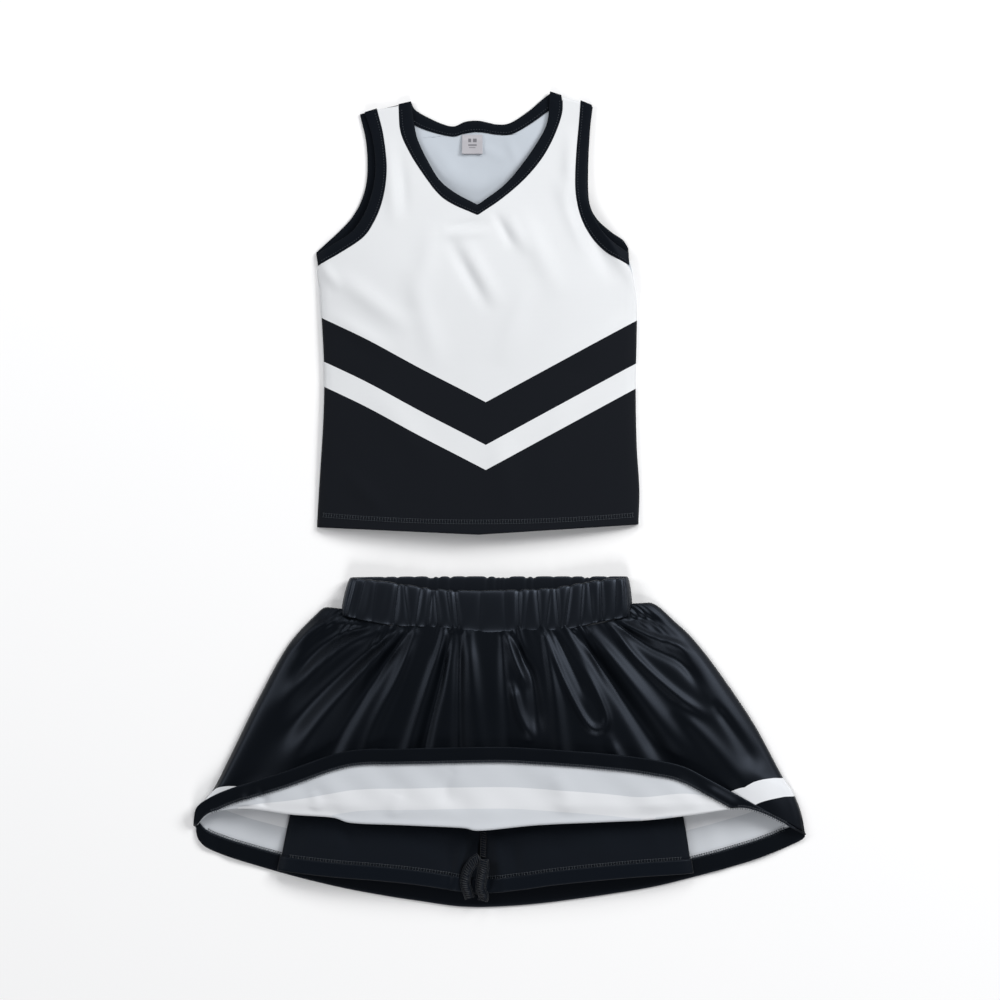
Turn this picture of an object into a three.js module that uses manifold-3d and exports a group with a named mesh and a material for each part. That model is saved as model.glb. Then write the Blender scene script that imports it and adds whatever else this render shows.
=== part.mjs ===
// A two-piece cheer uniform laid out flat, face up: a sleeveless V-neck shell top and, below it, a gathered
// skirt with built-in shorts whose front panel is turned up. Millimetres, +Z up, +Y towards the neck.
import * as THREE from 'three';
import { mergeVertices } from 'three/addons/utils/BufferGeometryUtils.js';
import Module from 'manifold-3d';

const wasm = await Module();
wasm.setup();

// Cloth, trimmings and clearances shared by both garments.
const cloth = 1.0;
const clearance = 0.3;
const bindingWidth = 12;
const bindingThickness = 1.6;
const threadWidth = 1.4;
const threadThickness = 0.5;
const hemAllowance = 15;
const hemStitchUp = 13;
const seamWidth = 6;

// The top, from its centre line and the middle of its hem.
const topPlace = { x: -24, y: -33 };
const chestHalf = 172;
const hemHalf = 176;
const underarmHeight = 295;
const shoulderHeight = 474;
const shoulderTilt = 0.065;
const neckHalf = 76;
const shoulderHalf = 128;
const shoulderDrop = 14;
const neckDepth = 118;
const backNeckDepth = 26;
const chestDepth = 20;
const topHemSag = 8;

// The size label, from the top's centre line.
const labelWidth = 23;
const labelLength = 22;
const labelOffset = -6.5;
const labelCloth = 0.6;
const labelFlipRoom = 1.2;
const labelSetIn = 1;

// The skirt, from the middle of its waist seam.
const skirtPlace = { x: -12, y: -129 };
const waistHalf = 158;
const waistDip = 12;
const waistEndRise = 7;
const bandHeight = 42;
const bandFrontDip = 12;
const elasticHeight = 36;
const elasticThickness = 1.5;
const waistDepth = 8;
const skirtHemHalf = 336;
const skirtHemShift = 12;
const skirtDrop = 234;
const skirtHemSag = 84;
const skirtDepth = 26;
const turnDrop = 210;
const turnSag = 22;
const turnHalf = 322;
const turnedHemDrop = 200;
const turnedHemRise = 58;
const turnedHemInset = 12;
const turnRadius = 3;

// The built-in shorts.
const shortsHalf = 219;
const shortsWaistInset = 24;
const shortsDrop = 272;
const shortsShift = -4;
const legGap = 44;
const legHemSag = 20;
const crotchDrop = 251;
const crotchShift = -18;
const shortsDepth = 11;
const stitchLift = (cloth + threadThickness) / 2 + 1.5 * clearance;

// Heights of the middle of each layer over the table.
const bottomLayer = cloth / 2;
const foldedStep = cloth + clearance;
const seamLayer = bottomLayer + 1.5 * foldedStep;
const sideLayer = bottomLayer + 3 * foldedStep;
const seamThickness = 2 * cloth + clearance;
const shortsBackLayer = bottomLayer + 2 * foldedStep + threadThickness + clearance;
const shortsSideLayer = shortsBackLayer + 3 * foldedStep;
const bandThickness = 2 * cloth + 2 * clearance + elasticThickness;
const bandMiddle = bandThickness / 2 + waistDepth;

const white = 0xe9ebee;
const navy = 0x151a21;
const satinNavy = 0x0d121b;
const darkThread = 0x1c222c;
const elasticWhite = 0xd9dcdf;
const labelGrey = 0xc6c4c8;

// ---- Curves: functions from 0..1 to a point of the plane ----

const point = (x, y) => new THREE.Vector2(x, y);

// A smooth curve between two ends; its shape points are fractions of the span between them.
function between(start, end, shape = []) {
  const points = [[0, 0], ...shape, [1, 1]].map(([fx, fy]) =>
    point(start.x + fx * (end.x - start.x), start.y + fy * (end.y - start.y)));
  const curve = new THREE.SplineCurve(points);
  return (t) => curve.getPointAt(THREE.MathUtils.clamp(t, 0, 1));
}

// A line between two ends that sags by a depth in its middle; a higher power is flatter there.
function sagging(start, end, depth, power = 2) {
  return (t) => {
    const spot = start.clone().lerp(end, t);
    spot.y -= depth * (1 - Math.abs(2 * t - 1) ** power);
    return spot;
  };
}

const part = (curve, from, to) => (t) => curve(from + (to - from) * t);

// Two curves walked one after the other, the first up to its share of the whole.
const chained = (first, second, share = 0.5) => (t) =>
  (t < share ? first(t / share) : second((t - share) / (1 - share)));

function heading(curve, t) {
  const step = 1e-3;
  const low = Math.max(0, t - step);
  const high = Math.min(1, t + step);
  return curve(high).sub(curve(low)).normalize();
}

// The place at a distance to the left of a curve's travel.
function beside(curve, t, distance) {
  const ahead = heading(curve, t);
  return curve(t).add(point(-ahead.y, ahead.x).multiplyScalar(distance));
}

// The patch between four edges: the top and bottom run along +X, the left and right run down.
function patch(top, bottom, left, right) {
  return (u, v) => {
    const spot = top(u).multiplyScalar(1 - v).addScaledVector(bottom(u), v);
    spot.addScaledVector(left(v), 1 - u).addScaledVector(right(v), u);
    spot.addScaledVector(top(0), -(1 - u) * (1 - v)).addScaledVector(top(1), -u * (1 - v));
    spot.addScaledVector(bottom(0), -(1 - u) * v).addScaledVector(bottom(1), -u * v);
    return spot;
  };
}

// ---- Cloth: a surface is a function from (u, v) to a point of space, u across and v down ----

const raised = (plan, height) => (u, v) => {
  const spot = plan(u, v);
  return new THREE.Vector3(spot.x, spot.y, height(spot.x, spot.y, u, v));
};

// A strip beside a curve, between two distances to the left of its travel.
const strip = (curve, from, to, height) =>
  raised((u, v) => beside(curve, u, to + (from - to) * v), height);

function facing(surface, u, v) {
  const step = 1e-3;
  const [west, east] = [Math.max(0, u - step), Math.min(1, u + step)];
  const [north, south] = [Math.max(0, v - step), Math.min(1, v + step)];
  const across = surface(east, v).sub(surface(west, v));
  const up = surface(u, north).sub(surface(u, south));
  return across.cross(up).normalize();
}

// One thickness of cloth over a surface, moved off it along its own facing.
function sheet(surface, across, down, thickness = cloth, offset = 0) {
  const box = new THREE.BoxGeometry(1, 1, 1, across, down, 1);
  const place = box.attributes.position;
  for (let i = 0; i < place.count; i += 1) {
    const u = THREE.MathUtils.clamp(place.getX(i) + 0.5, 0, 1);
    const v = THREE.MathUtils.clamp(0.5 - place.getY(i), 0, 1);
    const out = place.getZ(i) * thickness + offset;
    const spot = surface(u, v).addScaledVector(facing(surface, u, v), out);
    place.setXYZ(i, spot.x, spot.y, spot.z);
  }
  return box;
}

// ---- Solids: joining and cutting ----

function solid(geometry) {
  geometry.deleteAttribute('normal');
  geometry.deleteAttribute('uv');
  const merged = mergeVertices(geometry);
  return new wasm.Manifold(new wasm.Mesh({
    numProp: 3,
    vertProperties: new Float32Array(merged.attributes.position.array),
    triVerts: new Uint32Array(merged.index.array),
  }));
}

function geometryOf(body) {
  const mesh = body.getMesh();
  const geometry = new THREE.BufferGeometry();
  geometry.setAttribute('position', new THREE.BufferAttribute(mesh.vertProperties, 3));
  geometry.setIndex(new THREE.BufferAttribute(mesh.triVerts, 1));
  return geometry;
}

const joined = (...geometries) =>
  geometries.map(solid).reduce((sum, next) => sum.add(next));

function cutOff(body, cutters) {
  return cutters.map(solid).reduce((rest, cutter) => rest.subtract(cutter), body);
}

const cutDepth = 60;

// An upright block of a plan outline, tall enough to cut every layer.
function cutter(outline) {
  const geometry = new THREE.ExtrudeGeometry(new THREE.Shape(outline), {
    depth: 2 * cutDepth,
    bevelEnabled: false,
  });
  return geometry.translate(0, 0, -cutDepth);
}

function piece(name, geometry, color, roughness = 0.8) {
  const shape = geometry.isBufferGeometry ? geometry : geometryOf(geometry);
  shape.computeVertexNormals();
  const mesh = new THREE.Mesh(shape, new THREE.MeshStandardMaterial({ color, roughness }));
  mesh.name = name;
  return mesh;
}

// The fold at a hem joins the two layers from inside their thickness, short of their ends.
const hemFoldThickness = foldedStep + 0.6 * cloth;
const hemFoldReach = (surface, length) => (u, v) => {
  const lip = cloth / length;
  return surface(0.005 + 0.99 * u, 1 - lip * (1 - 0.7 * v));
};

// A panel whose lower edge is turned in by the hem allowance; side +1 turns it over the facing side.
function hemmed(surface, across, down, length, side) {
  const start = 1 - hemAllowance / length;
  const allowance = (u, v) => surface(u, start + (1 - start) * v);
  return joined(
    sheet(surface, across, down),
    sheet(allowance, across, 1, cloth, side * foldedStep),
    sheet(hemFoldReach(surface, length), across, 1, hemFoldThickness, (side * foldedStep) / 2),
  );
}

// ---- The top ----

const tilted = (x, y) => {
  const share = THREE.MathUtils.smoothstep(y, underarmHeight, shoulderHeight);
  return point(x, y + shoulderTilt * x * share);
};
const neckTip = (side) => tilted(side * neckHalf, shoulderHeight);
const shoulderTip = (side) => tilted(side * shoulderHalf, shoulderHeight - shoulderDrop);
const underarm = (side) => point(side * chestHalf, underarmHeight);
const neckPoint = point(0, shoulderHeight - neckDepth);
const backNeckLow = point(0, shoulderHeight - backNeckDepth);

// Every opening's edge is walked with the cloth on its right.
const frontNeckEdge = chained(
  between(neckTip(-1), neckPoint, [[0.06, 0.3], [0.24, 0.56], [0.5, 0.76]]),
  between(neckPoint, neckTip(1), [[0.36, 0.19], [0.65, 0.42], [0.9, 0.72]]),
);
const backNeckEdge = chained(
  between(neckTip(-1), backNeckLow, [[0.12, 0.4], [0.4, 0.85], [0.7, 1.05]]),
  between(backNeckLow, neckTip(1), [[0.3, -0.05], [0.6, 0.15], [0.88, 0.6]]),
);
const towardsShoulder = (shape) => shape.map(([fx, fy]) => [1 - fx, 1 - fy]).reverse();
const frontArmShape = [[-0.22, 0.2], [-0.25, 0.44], [-0.04, 0.68], [0.35, 0.9]];
const backArmShape = [[-0.12, 0.2], [-0.14, 0.42], [0.1, 0.64], [0.5, 0.84]];
const armEdge = (side, shape) => (side > 0
  ? between(shoulderTip(1), underarm(1), shape)
  : between(underarm(-1), shoulderTip(-1), towardsShoulder(shape)));

function frontHeight(x, y) {
  const across = Math.max(0, 1 - (x / chestHalf) ** 2) ** 0.8;
  const [low, high] = [underarmHeight, shoulderHeight].map((level) => level - 2 * shoulderDrop);
  const fade = 1 - THREE.MathUtils.smoothstep(y, low, high);
  return sideLayer + chestDepth * across * fade;
}
const backHeight = () => bottomLayer;
const bindingLow = () => bindingThickness / 2;

const shoulderMargin = 40;
const topReach = shoulderHeight + shoulderMargin;
const topSteps = 12;
const neckSteps = 16;
const armSteps = 12;
const sideOutline = (side) =>
  between(point(side * chestHalf, topReach), point(side * hemHalf, 0), [[0, 0.42], [-0.5, 0.72]]);
const topPlan = patch(
  sagging(point(-chestHalf, topReach), point(chestHalf, topReach), 0),
  sagging(point(-hemHalf, topHemSag / 2), point(hemHalf, topHemSag / 2), topHemSag),
  sideOutline(-1),
  sideOutline(1),
);

const postReach = 0.02;
const postHeight = sideLayer + bindingThickness / 2;
const cutMargin = 2;

// The short upright joins where a front run of binding meets the back run.
function posts(edge) {
  return [part(edge, 0, postReach), part(edge, 1 - postReach, 1)];
}

function bindingLoop(frontEdge, backEdge, steps) {
  const run = (edge, height) =>
    sheet(strip(edge, -bindingWidth, 0, height), steps, 1, bindingThickness);
  return joined(
    run(frontEdge, frontHeight),
    run(backEdge, bindingLow),
    ...posts(frontEdge).map((edge) =>
      sheet(strip(edge, -bindingWidth, 0, () => postHeight / 2), 1, 1, postHeight)),
  );
}

// Round room for the upright joins at the two ends of an opening's edge.
function endCutter(spot) {
  const radius = bindingWidth + cutMargin;
  const disc = new THREE.CylinderGeometry(radius, radius, 2 * cutDepth, 24).rotateX(Math.PI / 2);
  return disc.translate(spot.x, spot.y, 0);
}

function openingCutters(edge, outside, steps) {
  const clothEdge = Array.from({ length: steps + 1 }, (_, i) =>
    beside(edge, i / steps, -bindingWidth - clearance));
  return [cutter([...clothEdge, ...outside]), endCutter(edge(0)), endCutter(edge(1))];
}

const far = 2 * chestHalf;
const neckOutside = [point(neckHalf, topReach + far), point(-neckHalf, topReach + far)];
const armOutside = (side) => {
  const corners = [point(side * far, underarmHeight), point(side * far, topReach + far)];
  const over = point(side * shoulderHalf, topReach + far);
  return side > 0 ? [...corners, over] : [over, ...corners.reverse()];
};
const shoulderCutter = (side) => cutter([
  neckTip(side),
  neckTip(side).add(point(0, far)),
  shoulderTip(side).add(point(0, far)),
  shoulderTip(side),
]);

function topPanel(name, height, neckEdge, armShape, hemSide, across, down) {
  const body = hemmed(raised(topPlan, height), across, down, topReach, hemSide);
  const cutters = [-1, 1].flatMap((side) => [
    shoulderCutter(side),
    ...openingCutters(armEdge(side, armShape), armOutside(side), armSteps),
  ]);
  cutters.push(...openingCutters(neckEdge, neckOutside, neckSteps));
  return piece(name, cutOff(body, cutters), white);
}

function topSeams() {
  const seam = (name, curve, from, to) => piece(
    name,
    sheet(strip(curve, from, to, () => seamLayer), 4, 1, seamThickness),
    darkThread,
  );
  const sideEnd = 1 - (hemAllowance + cutMargin) / topReach;
  const sideStart = (topReach - underarmHeight + bindingWidth + cutMargin) / topReach;
  const inset = bindingWidth + cutMargin;
  return [-1, 1].flatMap((side) => {
    const across = (t) => neckTip(side).lerp(shoulderTip(side), t);
    const span = across(1).distanceTo(across(0));
    const shoulder = part(across, inset / span, 1 - inset / span);
    const outer = seamWidth + clearance;
    const inside = side > 0 ? [-outer, -clearance] : [clearance, outer];
    const down = part(sideOutline(side), sideStart, sideEnd);
    return [
      seam(`shoulder_seam_${sideNames[side]}`, shoulder, ...inside),
      seam(`side_seam_${sideNames[side]}`, down, ...inside),
    ];
  });
}

// Thread that lies on a binding, close to the binding's sewn edge.
function topstitch(name, edge, height, steps) {
  const lift = (bindingThickness + threadThickness) / 2 + clearance;
  const row = part(edge, 2 * postReach, 1 - 2 * postReach);
  const above = (x, y) => height(x, y) + lift;
  const inner = threadWidth - bindingWidth;
  const thread = strip(row, inner, inner + threadWidth, above);
  return piece(name, sheet(thread, steps, 1, threadThickness), navy);
}

const sideNames = { '-1': 'right', 1: 'left' };

function armholeTrim(side) {
  const front = armEdge(side, frontArmShape);
  const back = armEdge(side, backArmShape);
  return [
    piece(`armhole_binding_${sideNames[side]}`, bindingLoop(front, back, armSteps), navy),
    topstitch(`armhole_topstitch_${sideNames[side]}`, front, frontHeight, armSteps),
  ];
}

function topHemStitch(name, height, lift) {
  const reach = 1 - hemStitchUp / topReach;
  const row = (u) => topPlan((1 + (topSteps - 2) * u) / topSteps, reach);
  const above = (x, y) => height(x, y) + lift;
  const thread = strip(row, -threadWidth, threadWidth, above);
  return piece(name, sheet(thread, topSteps - 2, 1, threadThickness), darkThread);
}

function sizeLabel() {
  const sewnEdge = backNeckLow.y - bindingWidth - labelFlipRoom;
  const layers = [0, 1].map((level) => cloth + clearance + labelCloth / 2
    + level * (labelCloth + clearance));
  const flat = (length, from, level) => raised(
    (u, v) => point(labelOffset + (u - 0.5) * labelWidth, sewnEdge - from - v * length),
    () => level,
  );
  const foldThickness = 2 * labelCloth + clearance;
  return piece('size_label', joined(
    sheet(flat(labelLength, 0, layers[0]), 1, 1, labelCloth),
    sheet(flat(labelLength - labelSetIn, labelSetIn, layers[1]), 1, 1, labelCloth),
    sheet(flat(labelCloth, labelLength - labelCloth, (layers[0] + layers[1]) / 2), 1, 1, foldThickness),
  ), labelGrey, 0.6);
}

function makeTop() {
  const top = new THREE.Group();
  const onFace = (bindingThickness - cloth) / 2;
  const threadOff = (cloth + threadThickness) / 2 + clearance;
  top.add(
    topPanel('top_front_panel', frontHeight, frontNeckEdge, frontArmShape, -1, topSteps, 12),
    topPanel('top_back_panel', backHeight, backNeckEdge, backArmShape, 1, 8, 10),
    piece('neck_binding', bindingLoop(frontNeckEdge, backNeckEdge, neckSteps), navy),
    topstitch('neck_topstitch_front', frontNeckEdge, frontHeight, neckSteps),
    topstitch('neck_topstitch_back', backNeckEdge, bindingLow, neckSteps),
    ...[-1, 1].flatMap(armholeTrim),
    ...topSeams(),
    topHemStitch('top_hem_stitch_front', frontHeight, threadOff),
    topHemStitch('top_hem_stitch_back', backHeight, foldedStep + threadOff + onFace),
    sizeLabel(),
  );
  top.position.set(topPlace.x, topPlace.y, 0);
  return top;
}

// ---- The skirt ----

const waistEnd = (side) => point(side * waistHalf, waistEndRise);
const hemCorner = (side) => point(side * skirtHemHalf + skirtHemShift, -skirtDrop);
const turnEnd = (side) => point(side * turnHalf + skirtHemShift, -turnDrop);
const flareShape = [[0.14, -0.03], [0.25, 0.05], [0.4, 0.17], [0.59, 0.4], [0.86, 0.77], [0.97, 0.9]];
const turnedFlareShape = [[0.15, -0.03], [0.27, 0.06], [0.42, 0.19], [0.62, 0.45], [0.88, 0.84]];
const waistLine = sagging(waistEnd(-1), waistEnd(1), waistDip + waistEndRise, 4);
// Cloth hangs from just under the thread of the waist seam.
const seamDrop = threadWidth + 3 * clearance;
const panelTop = (u) => waistLine(u).sub(point(0, seamDrop));

const backPlan = patch(
  panelTop,
  sagging(hemCorner(-1), hemCorner(1), skirtHemSag),
  between(panelTop(0), hemCorner(-1), flareShape),
  between(panelTop(1), hemCorner(1), flareShape),
);
const frontPlan = patch(
  panelTop,
  sagging(turnEnd(-1), turnEnd(1), turnSag),
  between(panelTop(0), turnEnd(-1), turnedFlareShape),
  between(panelTop(1), turnEnd(1), turnedFlareShape),
);
const turnedHem = sagging(
  point(-turnHalf + turnedHemInset + skirtHemShift, -turnedHemDrop),
  point(turnHalf - turnedHemInset + skirtHemShift, -turnedHemDrop),
  -turnedHemRise,
  3,
);

function skirtFrontHeight(u, v) {
  const across = Math.max(0, 1 - (2 * u - 1) ** 2) ** 0.6;
  const rise = THREE.MathUtils.smoothstep(v, 0, 0.5);
  const atWaist = bandMiddle + waistDepth - sideLayer;
  return sideLayer + across * (atWaist + (skirtDepth - atWaist) * rise);
}

// The front panel as one length of cloth: down to the turn, round it, up to the hem edge, and back over.
const bodyRows = 7;
const turnRows = 4;
const flapRows = 3;
const foldRows = 2;
const skirtSteps = 20;
function frontSection(u) {
  const rows = [];
  for (let i = 0; i <= bodyRows; i += 1) {
    const spot = frontPlan(u, i / bodyRows);
    rows.push(new THREE.Vector3(spot.x, spot.y, skirtFrontHeight(u, i / bodyRows)));
  }
  const turn = rows.at(-1);
  const hem = turnedHem(u);
  for (let i = 1; i <= turnRows; i += 1) {
    const angle = (Math.PI * i) / turnRows;
    const out = turnRadius * Math.sin(angle);
    rows.push(new THREE.Vector3(turn.x, turn.y - out, turn.z + turnRadius * (1 - Math.cos(angle))));
  }
  const flapStart = rows.at(-1);
  const flapEnd = new THREE.Vector3(hem.x, hem.y, flapStart.z);
  for (let i = 1; i <= flapRows; i += 1) {
    rows.push(flapStart.clone().lerp(flapEnd, i / flapRows));
  }
  for (let i = 1; i <= foldRows; i += 1) {
    const angle = (Math.PI * i) / foldRows;
    const radius = foldedStep / 2;
    const out = radius * Math.sin(angle);
    rows.push(new THREE.Vector3(hem.x, hem.y + out, flapEnd.z + radius * (1 - Math.cos(angle))));
  }
  const last = rows.at(-1);
  const reach = Math.min(1, hemAllowance / flapEnd.distanceTo(flapStart));
  rows.push(last.clone().add(flapStart.clone().sub(flapEnd).multiplyScalar(reach)));
  return rows;
}
const sectionRows = frontSection(0.5).length - 1;
function frontSurface(u, v) {
  const rows = frontSection(u);
  const at = v * sectionRows;
  const first = Math.min(Math.floor(at), sectionRows - 1);
  return rows[first].clone().lerp(rows[first + 1], at - first);
}

// The waist as a flattened loop: the angle 0 is at the wearer's left side, a quarter turn is the front.
function waistLoop(angle) {
  const [side, front] = [Math.cos(angle), Math.sin(angle)];
  const x = (waistHalf - waistDepth) * side;
  const z = bandMiddle + waistDepth * Math.sign(front) * Math.abs(front) ** 0.4;
  return new THREE.Vector3(x, waistLine(THREE.MathUtils.clamp(x / (2 * waistHalf) + 0.5, 0, 1)).y, z);
}

// A closed band round the waist. Its profile runs outwards from the loop (x) and up from the waist seam (y).
function waistRing(profile, sides = 48) {
  const radius = 100;
  const closed = [...profile, profile[0]].reverse().map(([out, up]) => point(radius + out, up));
  const lathe = new THREE.LatheGeometry(closed, sides);
  const place = lathe.attributes.position;
  for (let i = 0; i < place.count; i += 1) {
    const [x, up, z] = [place.getX(i), place.getY(i), place.getZ(i)];
    const angle = Math.atan2(z, x);
    const out = Math.hypot(x, z) - radius;
    const step = 1e-3;
    const along = waistLoop(angle + step).sub(waistLoop(angle - step)).setY(0).normalize();
    const spot = waistLoop(angle).add(new THREE.Vector3(along.z, 0, -along.x).multiplyScalar(out));
    const dip = Math.max(0, Math.sin(angle)) ** 0.5 * bandFrontDip * (up / bandHeight);
    place.setXYZ(i, spot.x, spot.y + up - Math.max(0, dip), spot.z);
  }
  return lathe;
}

function waistband() {
  const half = bandThickness / 2;
  const skin = half - cloth;
  const foot = clearance;
  const top = bandHeight;
  const casing = [[-half, foot], [-half, top], [half, top], [half, foot], [skin, foot],
    [skin, top - cloth], [-skin, top - cloth], [-skin, foot]];
  const web = elasticThickness / 2;
  const low = (bandHeight - elasticHeight) / 2;
  const elastic = [[-web, low], [-web, low + elasticHeight], [web, low + elasticHeight], [web, low]];
  return [
    piece('waistband_casing', waistRing(casing), satinNavy, 0.5),
    piece('waist_elastic', waistRing(elastic), elasticWhite),
  ];
}

function skirtPanels() {
  const back = hemmed(raised(backPlan, backHeight), skirtSteps, 9, skirtDrop + skirtHemSag / 2, 1);
  const front = sheet(frontSurface, skirtSteps, sectionRows);
  return [
    piece('skirt_back_panel', back, satinNavy, 0.5),
    piece('skirt_front_panel', front, satinNavy, 0.5),
  ];
}

// The gathering seam where the casing, the skirt and the shorts meet.
function waistSeam() {
  const half = threadWidth / 2;
  const ring = [[-half, -threadWidth], [-half, 0], [half, 0], [half, -threadWidth]];
  return piece('waist_seam_thread', waistRing(ring), darkThread);
}

function skirtSideSeam(side, name) {
  const edge = part(between(waistEnd(side), hemCorner(side), flareShape), 0.06, 0.8);
  const inside = [0.5 * seamWidth, 1.5 * seamWidth];
  const reach = side > 0 ? inside.map((out) => -out).reverse() : inside;
  return piece(name, sheet(strip(edge, ...reach, () => seamLayer), 12, 1, seamThickness), darkThread);
}

// The stitched, overlocked edge of the hem allowance, on the turned-up front and on the back.
function skirtHemStitches() {
  const lift = (cloth + threadThickness) / 2 + clearance;
  const ends = 3;
  const [start, span] = [ends / skirtSteps, 1 - (2 * ends) / skirtSteps];
  const steps = skirtSteps - 2 * ends;
  const frontRow = (u) => turnedHem(start + span * u).sub(point(0, hemStitchUp));
  const frontTop = (x, y, u) => frontSection(start + span * u).at(-1).z + lift;
  const backRow = (u) => backPlan(start + span * u, 1).add(point(0, hemStitchUp));
  const backTop = () => bottomLayer + foldedStep + lift;
  return [
    piece('skirt_hem_stitch_front',
      sheet(strip(frontRow, -threadWidth, threadWidth, frontTop), steps, 1, threadThickness), darkThread),
    piece('skirt_hem_stitch_back',
      sheet(strip(backRow, -threadWidth, threadWidth, backTop), steps, 1, threadThickness), darkThread),
  ];
}

// ---- The shorts ----

const crotch = point(crotchShift, -crotchDrop);
const legHemOuter = (side) => point(side * shortsHalf + shortsShift, -shortsDrop);
const legHemInner = (side) => point(crotchShift + (side * legGap) / 2, -shortsDrop - legHemSag);
const legSideShape = [[0.35, 0.25], [0.6, 0.5], [0.85, 0.8]];
const crotchShare = crotchDrop / (shortsDrop + legHemSag);
const legLength = shortsDrop + legHemSag / 2;
const waistShare = (1 - shortsWaistInset / waistHalf) / 2;

// Down the centre seam to the crotch, then along the inner leg to its hem.
const centreSeam = between(panelTop(0.5), crotch, [[0.4, 0.5]]);
const innerLeg = (side) => between(crotch, legHemInner(side), [[0.7, 0.4]]);
function innerEdge(side) {
  const edge = chained(centreSeam, innerLeg(side), crotchShare);
  const gap = point((side * foldedStep) / 2, 0);
  return (t) => edge(t).add(gap);
}

// The plan of a leg: u is the share of its width from the outer fold (0) to the inner edge (1), v is down.
function legPlan(side) {
  const inner = innerEdge(side);
  const top = (share) => panelTop(0.5 + side * waistShare * (1 - share)).lerp(
    inner(0).setY(panelTop(0.5).y), share ** 8);
  const outer = between(top(0), legHemOuter(side), legSideShape);
  const hem = (share) => outer(1).lerp(inner(1), share);
  return patch(top, hem, outer, inner);
}

// Over the body the shorts rise as one dome; past the crotch each leg has a rise of its own.
function legRise(share, down) {
  const body = Math.max(0, 1 - (1 - share) ** 2) ** 0.6;
  const leg = Math.max(0, 4 * share * (1 - share)) ** 0.6;
  const split = THREE.MathUtils.smoothstep(down, 0.6, crotchShare - 0.04);
  const amount = shortsDepth * (0.4 + 0.6 * down);
  return amount * (body + (leg - body) * split);
}

const foldSteps = 4;
const faceSteps = 7;
const legRows = 9;
const legSteps = 2 * faceSteps + foldSteps;

// Round the leg: from the inner edge across the front, round the outer fold and back under.
function legSurface(side, shrink = 0) {
  const plan = legPlan(side);
  const middleHeight = (shortsBackLayer + shortsSideLayer) / 2;
  const radius = (shortsSideLayer - shortsBackLayer) / 2 - shrink;
  return (u, v) => {
    const step = u * legSteps;
    const front = THREE.MathUtils.clamp(step / faceSteps, 0, 1);
    const back = THREE.MathUtils.clamp((step - faceSteps - foldSteps) / faceSteps, 0, 1);
    const turn = THREE.MathUtils.clamp((step - faceSteps) / foldSteps, 0, 1) * Math.PI;
    const share = back > 0 ? back : 1 - front;
    const spot = plan(share, v);
    const rise = back > 0 ? 0 : legRise(share, v);
    return new THREE.Vector3(
      spot.x + side * radius * Math.sin(turn),
      spot.y,
      middleHeight + rise + radius * Math.cos(turn),
    );
  };
}

// One leg of the shorts with its hem turned in.
function shortsLeg(side, name) {
  const outer = legSurface(side);
  const flip = (surface) => (side > 0 ? (u, v) => surface(1 - u, v) : surface);
  const inner = legSurface(side, foldedStep);
  const rim = legSurface(side, foldedStep / 2);
  const start = 1 - hemAllowance / legLength;
  return piece(name, joined(
    sheet(flip(outer), legSteps, legRows),
    sheet(flip((u, v) => inner(u, start + (1 - start) * v)), legSteps, 1),
    sheet(flip(hemFoldReach(rim, legLength)), legSteps, 1, hemFoldThickness),
  ), navy);
}

// One seam from the centre front, through the crotch, to the centre back.
function crotchSeam() {
  const start = 0.04;
  const run = part(centreSeam, start, 1);
  const under = (x, y, u) => shortsSideLayer + legRise(1, (start + (1 - start) * u) * crotchShare)
    - 1.5 * foldedStep;
  const over = () => shortsBackLayer + 1.5 * foldedStep;
  const half = seamWidth / 2;
  return piece('crotch_seam', joined(
    sheet(strip(run, -half, half, under), 8, 1, seamThickness - 2 * clearance),
    sheet(strip(run, -half, half, over), 8, 1, seamThickness),
  ), darkThread);
}

function inseam(side) {
  const from = (seamWidth + cutMargin) / (legLength - crotchDrop);
  const to = 1 - (hemAllowance + cutMargin) / (legLength - crotchDrop);
  const run = part(innerLeg(side), from, Math.max(to, from + 0.1));
  const inside = [foldedStep, foldedStep + seamWidth];
  const reach = side > 0 ? inside : inside.map((out) => -out).reverse();
  const level = () => shortsBackLayer + 1.5 * foldedStep;
  return piece(`shorts_inseam_${sideNames[side]}`,
    sheet(strip(run, ...reach, level), 2, 1, seamThickness), darkThread);
}

function shortsHemStitch(side) {
  const plan = legPlan(side);
  const down = 1 - hemStitchUp / legLength;
  const [start, span] = [1 / faceSteps, (faceSteps - 2) / faceSteps];
  const row = (t) => plan(start + span * t, down);
  const above = (x, y, t) => shortsSideLayer + legRise(start + span * t, down) + stitchLift;
  return piece(`shorts_hem_stitch_${sideNames[side]}`,
    sheet(strip(row, -threadWidth, threadWidth, above), faceSteps - 2, 1, threadThickness), darkThread);
}

function makeShorts() {
  return [
    shortsLeg(-1, 'shorts_right_leg'),
    shortsLeg(1, 'shorts_left_leg'),
    crotchSeam(),
    ...[-1, 1].flatMap((side) => [inseam(side), shortsHemStitch(side)]),
  ];
}

function makeSkirt() {
  const skirt = new THREE.Group();
  skirt.add(
    ...skirtPanels(),
    ...waistband(),
    waistSeam(),
    skirtSideSeam(-1, 'skirt_side_seam_right'),
    skirtSideSeam(1, 'skirt_side_seam_left'),
    ...skirtHemStitches(),
    ...makeShorts(),
  );
  skirt.position.set(skirtPlace.x, skirtPlace.y, 0);
  return skirt;
}

const uniform = new THREE.Group();
uniform.add(makeTop(), makeSkirt());
uniform.updateMatrixWorld(true);
const bounds = new THREE.Box3().setFromObject(uniform);
const middle = bounds.getCenter(new THREE.Vector3());
uniform.position.set(-middle.x, -middle.y, -bounds.min.z);

export default uniform;
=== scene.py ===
"""A cheer uniform laid flat, face up: a sleeveless V-neck shell top with a printed chevron and, below it, a
gathered satin skirt with built-in shorts, its front hem turned up. Metres, +Z up, +Y towards the neck."""
import math

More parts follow.
